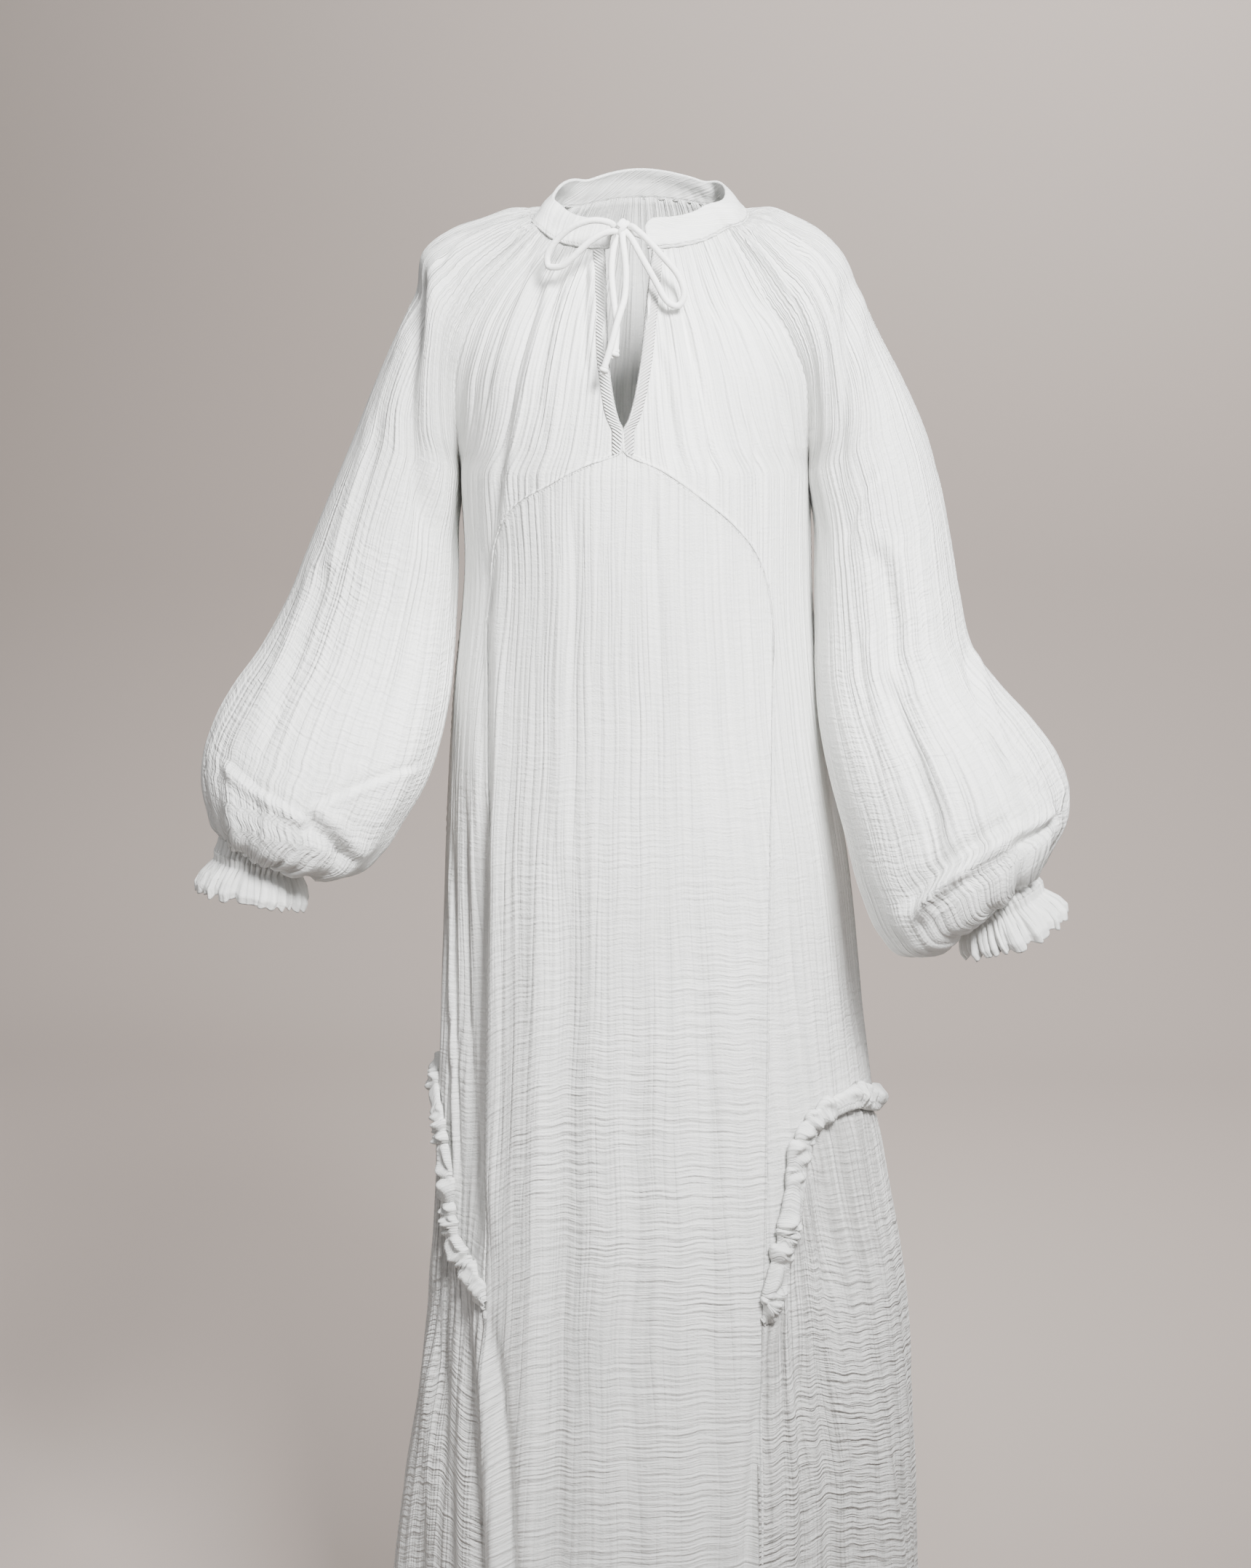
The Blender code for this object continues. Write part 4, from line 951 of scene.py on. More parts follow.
def ripple_relief(at, down, count, height, seed):
    """Long shallow ripples that run down the cloth."""
    drift = 0.010 * np.sin(2 * np.pi * down / 0.31 + seed)
    drift = drift + 0.006 * np.sin(2 * np.pi * down / 0.13 + 2 * seed)
    strength = 0.6 + 0.4 * np.sin(2 * np.pi * (down / 0.47 + 1.7 * at) + seed)
    one = waves(at + drift, count, seed)
    two = waves(at - 0.7 * drift, 1.7 * count, seed + 5)
    return height * strength * (0.65 * one + 0.35 * two)


def seam_relief(distance, along, seed):
    """The ridge of a seam allowance and the small puckers beside it."""
    ridge = SEAM_RIDGE * np.exp(-((distance / SEAM_HALF) ** 4))
    pucker = np.cos(2 * np.pi * along / PUCKER_PITCH + 2.1 * np.sin(along / 0.021 + seed))
    pucker = PUCKER_HEIGHT * pucker * np.exp(-distance / PUCKER_FALL)
    return ridge + pucker * eased(distance / 0.002)


def edge_ways(points):
    """For each edge of a grid: the distance from it, and the way along it."""
    across, along = travelled(points, 1), travelled(points, 0)
    return {
        "top": (along, across),
        "bottom": (along[-1:] - along, across),
        "left": (across, along),
        "right": (across[:, -1:] - across, along),
    }


def normals_of(points, outward):
    """Square to a grid of points, on the side that outward gives."""
    found = unit(np.cross(np.gradient(points, axis=1), np.gradient(points, axis=0)))
    return found * np.sign((found * outward).sum(-1, keepdims=True))


def tucked(points, normal, edges, depth, past=SEAM_TUCK):
    """Takes edges of a grid of points a little past their seam and under the next piece."""
    for edge in edges:
        across, up = points.transpose(1, 0, 2), normal.transpose(1, 0, 2)
        view, over = {
            "top": (points, normal),
            "bottom": (points[::-1], normal[::-1]),
            "left": (across, up),
            "right": (across[::-1], up[::-1]),
        }[edge]
        line = view[0].copy()
        along = unit(np.gradient(line, axis=0))
        inward = view[1] - line
        inward -= (inward * along).sum(-1, keepdims=True) * along
        view[0] = line - unit(inward) * past - over[0] * depth
    return points


# Making pieces


def shown(obj, material, slot, *nodes):
    """Puts a finished piece on its body with its material, in place of its solids."""
    obj.data.materials.clear()
    obj.data.materials.append(material)
    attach(obj, "root")
    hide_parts(*nodes)
    return obj


def apply_all(obj):
    """Applies the piece's modifiers in their order."""
    bpy.ops.object.select_all(action="DESELECT")
    bpy.context.view_layer.objects.active = obj
    obj.select_set(True)
    for modifier in list(obj.modifiers):
        bpy.ops.object.modifier_apply(modifier=modifier.name)
    obj.select_set(False)


def in_scene(name, data):
    """A new object of the scene that shows some data."""
    obj = bpy.data.objects.new(name, data)
    bpy.context.scene.collection.objects.link(obj)
    return obj


def finished(name, form):
    """A smooth object of a form that is complete."""
    mesh = bpy.data.meshes.new(name)
    form.to_mesh(mesh)
    form.free()
    mesh.shade_smooth()
    return in_scene(name, mesh)


def cloth(name, points, wall, cut, seam, weft, closed_rows=0):
    """A fine grid of points as a cloth shell.

    Its map holds the place on the cut cloth in metres, the seam map holds the way
    along the stitched seam and the distance from it, and weft says how much the
    cross crinkles show and how much painted shade a muslin's troughs get.
    """
    rows, count = points.shape[:2]
    form = bmesh.new()
    bmesh.ops.create_grid(form, x_segments=count - 1, y_segments=rows - 1, size=1.0)
    form.verts.ensure_lookup_table()
    place = form.loops.layers.uv.new("cut")
    stitch = form.loops.layers.uv.new("seam")
    weight = form.verts.layers.float.new("weft")
    weft = np.broadcast_to(weft, (rows, count))
    flat = [part.reshape(rows * count, -1) for part in (points, cut, seam, weft)]
    for vertex, point, amount in zip(form.verts, flat[0], flat[3]):
        vertex.co = point
        vertex[weight] = float(amount[0])
    form.verts.index_update()
    for face in form.faces:
        for loop in face.loops:
            loop[place].uv = flat[1][loop.vert.index]
            loop[stitch].uv = flat[2][loop.vert.index]
    if closed_rows:
        closed = range(rows - closed_rows, rows)
        ends = [form.verts[row * count + end] for row in closed for end in (0, count - 1)]
        bmesh.ops.remove_doubles(form, verts=ends, dist=1e-5)
    obj = finished(name, form)
    thicken = obj.modifiers.new("Cloth", "SOLIDIFY")
    thicken.thickness = wall
    thicken.offset = 0.0
    apply_all(obj)
    return obj


def cut_places(points, width):
    """Places on the cut cloth: the part of its width, and the way down."""
    across = travelled(points, 1)
    part = across / across[:, -1:]
    return np.stack([part * width, travelled(points, 0)], -1)


def seam_places(points, edge):
    """Places beside an edge: the way along it and the distance from it."""
    distance, along = edge_ways(points)[edge]
    return np.stack([along, distance], -1)


def piece_relief(points, outward, creases, seams, seed):
    """Creases and seams of a piece, the part of it that its seams leave free, and its ways."""
    ways = edge_ways(points)
    total = crease_relief(points, outward, creases)
    free = np.ones(points.shape[:-1])
    for number, edge in enumerate(seams):
        distance, along = ways[edge]
        total += seam_relief(distance, along, seed + number)
        free *= eased(distance / SEAM_FREE)
    return total, free, ways


def body_relief(piece, points, outward, seams, side=0):
    """Creases and seams of a piece of the body or skirt, its free part and its ways."""
    return piece_relief(points, outward, BODY_CREASES, seams, SEAM_SEEDS[piece] + side)


def add_ripples(total, free, piece, at, down, side=0):
    """Adds a piece's long ripples to its relief, where its seams leave it free."""
    for count, height, seed in RIPPLES[piece]:
        total += free * ripple_relief(at, down, count, height, seed + side)


def side_front(side, material):
    """Side front: gathered at the band, long folds, seams all round."""
    name = "front_" + SIDE_NAMES[side]
    seams = ("left", "right")
    points, outward, across = fine_body(*front_grid(side), -1, FRONT_GRID)
    normal = normals_of(points, outward)
    total, free, ways = body_relief("front", points, outward, seams, side)
    fall = NECK_FRONT_Z - points[..., 2]
    total += gather_relief("front", np.abs(across), ways["top"][0], side)
    add_ripples(total, free, "front", across, fall, side)
    flank = np.exp(-(((points[..., 0] - FLANK_X) / FLANK_HALF) ** 2))
    flank = flank * fading_in(points, FLANK_TOP_Z, FLANK_FADE)
    add_ripples(total, flank, "flank", across, fall)
    cut = body_cut(across, points, CUT_SHIFTS["front"] * side)
    points = tucked(points + normal * total[..., None], normal, ("top",), UNDER_BAND)
    weft = body_weft("front", points)
    made = cloth(name + "_cloth", points, WALL, cut, nearest_seam(points, seams), weft)
    shown(made, material, "muslin", name)


def middle_front(material):
    """Middle front: hangs from the arch, with plaid crinkles lower down."""
    seams = ("top", "left", "right")
    points, outward, across = fine_body(*panel_grid(), -1, PANEL_GRID)
    normal = normals_of(points, outward)
    total, free, ways = body_relief("panel", points, outward, seams)
    fall = NECK_FRONT_Z - points[..., 2]
    low = fading_in(points, -0.45, 0.5)
    add_ripples(total, free * (0.4 + 0.9 * low), "panel_broad", across, fall)
    add_ripples(total, free * (0.2 + 0.9 * low), "panel_fine", across, fall)
    total += free * 0.0005 * waves(across, 21, 47) * np.exp(-ways["top"][0] / 0.035)
    total += hem_relief(ways["bottom"][0])
    cut = body_cut(across, points, CUT_SHIFTS["panel"])
    from_seam = points[..., 0] + PRINCESS_X
    swag = SWAG_DEPTH * fading_in(points, -0.35, 0.4) * np.exp(-from_seam / SWAG_REACH)
    cut[..., 1] -= swag + 0.012 * low * (across / across.max()) ** 4
    points = tucked(points + normal * total[..., None], normal, seams, UNDER_SEAM)
    weft = body_weft("panel", points)
    made = cloth("front_panel_cloth", points, WALL, cut, nearest_seam(points, seams), weft)
    shown(made, material, "muslin", "front_panel")


def fading_in(points, start_z, length):
    """0 above a height, up to 1 at a length below it."""
    return eased((start_z - points[..., 2]) / length)


def body_weft(piece, points):
    """How much the cross crinkles of a piece of the body show."""
    least, more, start_z, length = WEFTS[piece]
    return least + more * fading_in(points, start_z, length)


def hem_relief(distance):
    """The doubled cloth of the hem and the dip of its stitching."""
    doubled = HEM_DOUBLED * eased((HEM_STITCH + 0.002 - distance) / 0.003)
    return doubled - HEM_DIP * np.exp(-(((distance - HEM_STITCH) / HEM_DIP_HALF) ** 2))


def body_cut(share, points, shift):
    """Places on the cut cloth of a body piece, whose threads run straight down."""
    return np.stack([BODY_HALF_CUT * share + shift, shift - points[..., 2]], -1)


def nearest_seam(points, edges):
    """Places beside the nearest of several edges."""
    nearest = seam_places(points, edges[0])
    for edge in edges[1:]:
        other = seam_places(points, edge)
        nearest = np.where(other[..., 1:] < nearest[..., 1:], other, nearest)
    return nearest


def whole_back(material):
    """Back: gathered at the band, plain, with long soft folds."""
    seams = ("left", "right")
    points, outward, across = fine_body(*back_grid(), 1, BACK_GRID)
    normal = normals_of(points, outward)
    total, free, ways = body_relief("back", points, outward, seams)
    weft = body_weft("back", points)
    total += gather_relief("back", across, ways["top"][0])
    add_ripples(total, free, "back", across, NECK_BACK_Z - points[..., 2])
    total += hem_relief(ways["bottom"][0])
    cut = body_cut(across, points, CUT_SHIFTS["back"])
    points = tucked(points + normal * total[..., None], normal, seams, UNDER_SEAM)
    points = tucked(points, normal, ("top",), UNDER_BAND)
    made = cloth("back_cloth", points, WALL, cut, seam_places(points, "top"), weft)
    shown(made, material, "muslin", "back")


def flounce(side, material):
    """Gathered flounce at one side of the skirt."""
    name = "inset_" + SIDE_NAMES[side]
    seams = ("left", "right")
    share, z, face, swing = flounce_grid(side)
    base, _ = body_surface(share, z, face)
    fine, knots, places = finer(base, np.stack([share, z, swing], -1), FLOUNCE_GRID)
    middle = np.searchsorted(places, knots[RUFFLE_STEPS], "right")
    fine_face = np.where(np.arange(FLOUNCE_GRID[1]) < middle, -1.0, 1.0)
    points, outward = body_surface(np.clip(fine[..., 0], -1, 1), fine[..., 1], fine_face)
    points = points + outward * fine[..., 2:]
    softened(points.transpose(1, 0, 2), 2)
    normal = normals_of(points, outward)
    total, free, ways = body_relief("flounce", points, outward, seams, side)
    column = places / places[-1]
    down = ways["top"][0]
    total += gather_relief("flounce", column[None, :], down, side)
    add_ripples(total, free, "flounce", column[None, :], down, side)
    total += hem_relief(ways["bottom"][0])
    points = tucked(points + normal * total[..., None], normal, seams, UNDER_RUFFLE, 0.0035)
    points = tucked(points, normal, ("top",), UNDER_RUFFLE)
    weft = 0.35 + 0.65 * eased(down / 0.16)
    cut = cut_places(points, CUT_WIDTHS["flounce"])
    cut[..., 1] = 0.012 * np.sin(3 * np.pi * column) - points[..., 2]
    made = cloth(name + "_cloth", points, WALL, cut, seam_places(points, "left"), weft)
    shown(made, material, "muslin", name)


def sleeve_rings(side, rows):
    """A sleeve's rings, read finely.

    They are the middles and the halves of its seam gap, its outermost points, its
    half depths, and how many of its rows are open.
    """
    name = SIDE_NAMES[side]
    lower = LEFT_SLEEVE if side > 0 else RIGHT_SLEEVE
    head = np.stack([SLEEVE_HEAD[key] for key in ("front_z", "back_z")], -1)
    front, _ = body_surface(side, head[:, 0], -1)
    back, _ = body_surface(side, head[:, 1], 1)
    top = np.stack([side * SLEEVE_HEAD[name + "_x"], 0 * head[:, 0], SLEEVE_HEAD[name + "_z"]], -1)
    inner = np.stack([side * lower["inner_x"], lower["centre_y"], lower["inner_z"]], -1)
    outer = np.stack([side * lower["outer_x"], lower["centre_y"], lower["outer_z"]], -1)
    depth = np.concatenate([SLEEVE_HEAD["depth"], lower["depth"]])
    front, back = np.vstack([front, inner]), np.vstack([back, inner])
    top = np.vstack([top, outer])
    middle = (front + back) / 4 + top / 2
    step = sum(np.linalg.norm(np.diff(line, axis=0), axis=1) for line in (middle, top))
    knots = np.concatenate([[0], np.cumsum(step)])
    seam_row = knots[RAGLAN_ROWS]
    at = np.linspace(0, knots[-1], rows)
    at[np.abs(at - seam_row).argmin()] = seam_row
    parts = ((front + back) / 2, (back - front) / 2, top, depth[:, None])
    centre, half, top, depth = (rows_between(part, knots, at) for part in parts)
    open_rows = at <= seam_row
    fine_z = rows_between(head, knots[: RAGLAN_ROWS + 1], np.minimum(at, seam_row))
    exact_front, _ = body_surface(side, fine_z[:, 0], -1)
    exact_back, _ = body_surface(side, fine_z[:, 1], 1)
    centre = np.where(open_rows[:, None], (exact_front + exact_back) / 2, centre)
    half = np.where(open_rows[:, None], (exact_back - exact_front) / 2, 0)
    return centre, half, top, depth[:, 0], int(open_rows.sum())


def sleeve_surface(side, rows, count):
    """Fine points of a sleeve, their outward directions, and how many rows are open."""
    middle, half, top, depth, open_rows = sleeve_rings(side, rows)
    spread = np.linalg.norm(half, axis=-1)
    past = np.arccos(np.clip(spread / depth, 0, 1))[:, None, None]
    pull = eased(spread / 0.03)[:, None]
    across = unit(unit(half) * pull + np.array((0.0, 1.0, 0.0)) * (1 - pull)) * depth[:, None]
    centre = (middle + top * np.sin(past[:, 0])) / (1 + np.sin(past[:, 0]))
    angle = -past[:, :, 0] + (np.pi + 2 * past[:, :, 0]) * between(0, 1, count - 1)
    rise = (top - centre)[:, None, :]
    angle = angle[..., None]
    points = centre[:, None, :] + rise * np.sin(angle) - across[:, None, :] * np.cos(angle)
    return points, unit(points - centre[:, None, :]), open_rows


def sleeve(side, material):
    """Balloon sleeve: gathered at the band and at the cuff, with its long creases."""
    name = "sleeve_" + SIDE_NAMES[side]
    seams = ("left", "right")
    points, outward, open_rows = sleeve_surface(side, *SLEEVE_GRID)
    normal = normals_of(points, outward)
    closed = slice(open_rows - 1, None)
    normal[closed, 0] = normal[closed, -1] = unit(normal[closed, 0] + normal[closed, -1])
    creases = LEFT_SLEEVE_CREASES if side > 0 else RIGHT_SLEEVE_CREASES
    total, free, ways = piece_relief(points, outward, creases, seams, SEAM_SEEDS["sleeve"] + side)
    column = np.linspace(0, 1, SLEEVE_GRID[1])[None, :]
    down, up = ways["top"][0], ways["bottom"][0]
    total += free * gather_relief("sleeve", column, down, side)
    total += free * gather_relief("wrist", column, up, side)
    add_ripples(total, free, "sleeve", column, down, side)
    points = tucked(points + normal * total[..., None], normal, ("top",), UNDER_BAND)
    upper = slice(0, open_rows - 1)
    points[upper] = tucked(points[upper], normal[upper], seams, UNDER_SEAM)
    weft = 0.15 + 0.25 * eased((down - 0.25) / 0.2) * eased(up / 0.12)
    cut = cut_places(points, CUT_WIDTHS["sleeve"])
    seam = seam_places(points, "left")
    closed_rows = SLEEVE_GRID[0] - open_rows + 1
    made = cloth(name + "_cloth", points, WALL, cut, seam, weft, closed_rows)
    shown(made, material, "muslin", name)


def cuff(side, material):
    """Gathered elastic casing and its frill of soft lobes, below the sleeve."""
    name = "cuff_" + SIDE_NAMES[side]
    inner, _, top, depth, _ = sleeve_rings(side, SLEEVE_GRID[0])
    centre = (inner[-1] + top[-1]) / 2
    rise = top[-1] - centre
    away = -side * unit(np.cross(rise, (0.0, 1.0, 0.0)))
    part = np.linspace(0, 1, CUFF_GRID[1])
    turns = 2 * np.pi * part
    swell, number, _ = puffs(part, CUFF_WAVES, 101 + side)
    lobe = swell * (0.70 + 0.30 * np.sin(2.1 * number + side))
    curl = 0.0030 * np.sin(3.3 * number + 1.0) * swell
    curl[-1] = curl[0]
    lobe[-1] = lobe[0]
    gather = 1 - 2 * np.abs(np.sin(np.pi * 2 * CUFF_WAVES * part + 1.4 * np.sin(3 * turns)))
    edge = CUFF["along"][-1]
    along = np.linspace(CUFF["along"][0], edge, CUFF_GRID[0])
    profile = (np.interp(along, CUFF["along"], CUFF[key]) for key in ("wide", "lobes", "gathers"))
    droop = 0.0024 * np.sin(2 * turns + side)
    front_back = np.array((0, depth[-1], 0))
    ring = rise * np.sin(turns)[:, None] - np.outer(np.cos(turns), front_back)
    sideways = unit(rise * np.cos(turns)[:, None] + np.outer(np.sin(turns), front_back))
    rings = []
    for way, wide, wave, fold in zip(along, *profile):
        reach = 1 + (wide + wave * (lobe - 0.4) - fold * gather)[:, None] / depth[-1]
        frilled = max(way / edge, 0) ** 2
        lower = way + (0.0050 * (lobe - 0.7) + droop) * frilled
        twist = curl[:, None] * frilled
        rings.append(centre + away * lower[:, None] + ring * reach + sideways * twist)
    points = np.array(rings)
    points[:, -1] = points[:, 0]
    cut = cut_places(points, CUT_WIDTHS["cuff"])
    seam = seam_places(points, "top")
    made = cloth(name + "_cloth", points, WALL, cut, seam, 0.1, len(points))
    shown(made, material, "muslin", name)


def puffs(at, count, seed):
    """Rounded puffs from 0 to 1 with sharp valleys, the number of each and its places."""
    chance = np.random.default_rng(seed)
    bend = sum(chance.uniform(0.3, 0.6) * turned(k * at + chance.random()) for k in (3, 7, 11))
    phase = count * at + 0.9 * bend
    place = phase % 1.0
    return 1 - np.abs(2 * place - 1) ** 2.4, np.floor(phase), place


def ruffle_line(side):
    """Points along the seam over a flounce, from its front end round to its back end."""
    name = SIDE_NAMES[side]
    steps = between(0, RUFFLE_STEPS, 8 * RUFFLE_STEPS)
    start = share_at(PRINCESS_X, FRONT_RUFFLE_Z, side)
    share = start + (side - start) * smooth(RUFFLE, "step", name + "_way", steps)
    z = smooth(RUFFLE, "step", name + "_z", steps)
    front, _ = body_surface(share, z, -1)
    back, _ = body_surface(share, z, 1)
    steps, times = RUFFLE_LINE
    return softened(evenly(np.vstack([front, back[-2::-1]]), steps), times)


def ruffle(side, material):
    """Gathered frill on the seam over a flounce, as a row of soft folded puffs."""
    name = "ruffle_" + SIDE_NAMES[side]
    line = ruffle_line(side)
    along = unit(np.gradient(line, axis=0))
    outward = unit(line * (1.0, 1.6, 0.0))
    outward = unit(outward - (outward * along).sum(-1, keepdims=True) * along)
    down = unit(np.cross(outward, along)) * side
    part = np.linspace(0, 1, len(line))
    swell, number, place = puffs(part, RUFFLE_WAVES, 111 + side)
    flat_stretch = np.exp(-(((line[:, 2] - RUFFLE_FLAT_Z) / 0.014) ** 2)) * (line[:, 1] < 0)
    flat_stretch = flat_stretch * (side > 0)
    puffed_out = swell * (0.72 + 0.28 * np.sin(2.4 * number + side)) * (1 - 0.8 * flat_stretch)
    behind = eased((line[:, 1] + 0.01) / 0.03) * eased((np.abs(line[:, 0]) - 0.13) / 0.04)
    tail = 0.35 + 0.65 * eased(part / 0.015) * eased((1 - part) / 0.015)
    tail *= 1 - 0.55 * behind
    tall = (RUFFLE_HEIGHT + RUFFLE_PUFF * puffed_out) * tail
    wide = (RUFFLE_WIDTH + RUFFLE_SPREAD * puffed_out + 0.0030 * flat_stretch) * tail
    lean = 0.0040 * np.sin(1.7 * number + side) * swell
    rows = []
    for step in np.linspace(0, 1, 16):
        roll = np.sin(np.pi * step) ** 0.7
        folds = 1 + 0.26 * swell * turned(1.9 * step + 0.31 * number + 0.5 * place)
        pleats = 0.0017 * swell * np.cos(2 * np.pi * (1.7 * place + 0.37 * number + 1.3 * step))
        lift = 0.0010 + (tall * folds + pleats) * roll
        drop = wide * (1 - np.cos(np.pi * step)) / 2 - 0.0006
        slide = lean * step + 0.0035 * swell * (step - 0.5)
        rows.append(line + outward * lift[:, None] + down * drop[:, None] + along * slide[:, None])
    points = np.array(rows)
    cut = cut_places(points, CUT_WIDTHS["ruffle"])
    seam = seam_places(points, "top")
    made = cloth(name + "_cloth", points, TRIM_WALL, cut, seam, 0.2)
    shown(made, material, "muslin", name)


def neck_line():
    """The neck edges of the pieces in order, from the wearer's right slit edge round the back."""
    parts = []
    for side in (-1, 1):
        share, z = front_grid(side)
        front, _ = body_surface(share[0], z[0], -1)
        head, _, _ = sleeve_surface(side, 60, 24)
        parts.append((front, head[0]))
    share, z = back_grid()
    back, _ = body_surface(share[0], z[0], 1)
    line = np.vstack([parts[0][0], parts[0][1], back, parts[1][1][::-1], parts[1][0][::-1]])
    first = line[0] + unit(line[0] - line[1]) * BAND_PAST_SLIT
    last = line[-1] + unit(line[-1] - line[-2]) * BAND_PAST_SLIT
    steps, times = BAND_LINE
    return softened(evenly(np.vstack([first, line, last]), steps), times)


def neck_band(material):
    """Standing band with round ends, a soft roll at its top and puckers at its seam."""
    line = neck_line()
    up = unit(np.array((0.0, 0.0, 1.0)) - line * (*BAND_LEAN, 0.0))
    length = lengths(line)
    from_end = np.minimum(length, length[-1] - length)
    height = BAND_HEIGHT * np.sqrt(1 - (1 - np.clip((from_end + 0.0045) / 0.017, 0, 1)) ** 2)
    outward = unit(np.cross(np.gradient(line, axis=0), up))
    outward *= np.sign((outward * line * (1, 1, 0)).sum(-1, keepdims=True))
    base = line + up * BAND_CLEAR
    rows = []
    for step in np.linspace(0, 1, 22):
        way = height * step
        roll = 0.0012 + 0.0008 * np.sin(np.pi * step)
        roll = roll + 0.0006 * np.sin(2.3 * np.pi * step + 40 * length)
        pucker = 0.0007 * np.cos(2 * np.pi * length / 0.011 + 2 * np.sin(length * 60))
        pucker = pucker * np.exp(-way / 0.006)
        wander = 0.0010 * np.sin(length * 36 + 3 * step) * step
        rows.append(base + up * way[:, None] + outward * (roll + pucker + wander)[:, None])
    points = np.array(rows)
    cut = np.stack([travelled(points, axis) for axis in (1, 0)], -1)
    made = cloth("neck_band_cloth", points, BAND_WALL, cut, seam_places(points, "top"), 0.3)
    shown(made, material, "muslin", "neck_band")


def slit_binding(side, material):
    """Bias strip along the slit, rounded over its edge."""
    name = "slit_binding_" + SIDE_NAMES[side]
    knots = lengths(SLIT_Z[:, None])
    z = np.interp(np.linspace(0, knots[-1], 90), knots, SLIT_Z)
    z[0] -= SEAM_GAP
    edge = smooth(SLIT, "z", "half", z)
    arch_z = SIDE_NAMES[side] + "_z"
    low = eased((SLIT_END_Z - z) / (SLIT_END_Z - ARCH_PEAK_Z))
    rows = []
    for step in np.linspace(-0.12, 1, 14):
        x = np.maximum(edge + SEAM_GAP / 2 + BINDING_WIDTH * step, 0.0004)
        z_here = z + low * (smooth(ARCH, "x", arch_z, x) - ARCH_PEAK_Z)
        points, outward = body_surface(share_at(x, z_here, side), z_here, -1)
        crown = WALL / 2 + 0.0005 + 0.0011 * np.sqrt(np.clip(1 - (2 * max(step, 0) - 1) ** 2, 0, 1))
        crown = (crown * (1 - 0.45 * low))[:, None]
        rows.append(points + outward * (crown - 0.0016 * max(0, -step / 0.12)))
    points = np.array(rows)
    cut = np.stack([travelled(points, axis) for axis in (1, 0)], -1)
    made = cloth(name + "_cloth", points, TRIM_WALL, cut, seam_places(points, "bottom"), 0.0)
    shown(made, material, "bias_cotton", name)


# Cords and knots


def tie(name, route, nodes, material):
    """One bias cord as a curve."""
    line = softened(smooth_line(route, 12 * len(route)), CORD_SOFTENED)
    line = evenly(line, CORD_STEPS)
    curve = bpy.data.curves.new(name, "CURVE")
    curve.dimensions = "3D"
    curve.bevel_depth = CORD_DIAMETER / 2
    curve.bevel_resolution = 4
    curve.use_fill_caps = True
    spline = curve.splines.new("POLY")
    spline.points.add(len(line) - 1)
    for target, point in zip(spline.points, line):
        target.co = (*point, 1.0)
    obj = in_scene(name, curve)
    shown(obj, material, "bias_cotton", *nodes)


def tube(name, line, radius, sides):
    """A round tube along a line of points, with a map along and around it."""
    count = len(line)
    ahead = unit(np.gradient(line, axis=0))
    across = np.cross(ahead[0], (0.3, 0.9, 0.2))
    turns = 2 * np.pi * np.arange(sides + 1) / sides
    rings = []
    for point, way, thick in zip(line, ahead, np.broadcast_to(radius, count)):
        across = unit(across - way * (across @ way))
        other = np.cross(way, across)
        ring = np.outer(np.cos(turns), across) + np.outer(np.sin(turns), other)
        rings.append(point + thick * ring)
    points = np.array(rings)
    form = bmesh.new()
    bmesh.ops.create_grid(form, x_segments=sides, y_segments=count - 1, size=1.0)
    form.verts.ensure_lookup_table()
    for vertex, point in zip(form.verts, points.reshape(-1, 3)):
        vertex.co = point
    place = form.loops.layers.uv.new("cut")
    length = lengths(line)
    form.verts.index_update()
    for face in form.faces:
        for loop in face.loops:
            row, column = divmod(loop.vert.index, sides + 1)
            loop[place].uv = (length[row], column / sides * 2 * np.pi * float(np.max(radius)))
    bmesh.ops.remove_doubles(form, verts=form.verts, dist=1e-6)
    bmesh.ops.holes_fill(form, edges=[edge for edge in form.edges if edge.is_boundary])
    bmesh.ops.recalc_face_normals(form, faces=form.faces)
    return finished(name, form)


def bow_knot(material):
    """The wrap of cord that holds the bow: one and a half turns round the crossing."""
    turn = np.linspace(0, 2.9 * np.pi, 60)
    swell = np.array((0.0064, 0.0050, 0.0056))
    tilt = math.radians(28)
    x = np.linspace(-0.0024, 0.0026, 60)
    y = -swell[1] * np.cos(turn)
    z = swell[2] * np.sin(turn)
    leaning = x * math.cos(tilt) + z * math.sin(tilt)
    upright = z * math.cos(tilt) - x * math.sin(tilt)
    line = np.stack([leaning, y, upright], -1) + TIE_KNOT
    shown(tube("bow_knot", line, 0.0024, 12), material, "bias_cotton", "tie_knot")


def tip_knot(name, material):
    """A small overhand knot at a cord's free end, with its cut end below."""
    centre = np.array(TIE_TIPS[name])
    turn = np.linspace(0, 3.2 * np.pi, 46)
    x = 0.0018 * np.cos(turn)
    y = 0.0018 * np.sin(turn)
    z = np.linspace(0.0024, -0.0030, 46)
    radius = np.full(46, 0.0020)
    radius[-8:] = np.linspace(0.0020, 0.0013, 8)
    wrap = tube(name + "_wrap", centre + np.stack([x, y, z], -1), radius, 10)
    return shown(wrap, material, "bias_cotton", name)


# Materials


def new_group(name, inputs, outputs):
    """An empty shader group with named inputs and outputs."""
    group = bpy.data.node_groups.new(name, "ShaderNodeTree")
    for label, kind, value in inputs:
        socket = group.interface.new_socket(name=label, in_out="INPUT", socket_type=kind)
        if value is not None:
            socket.default_value = value
    for label, kind in outputs:
        group.interface.new_socket(name=label, in_out="OUTPUT", socket_type=kind)
    return group, group.nodes.new("NodeGroupInput"), group.nodes.new("NodeGroupOutput")


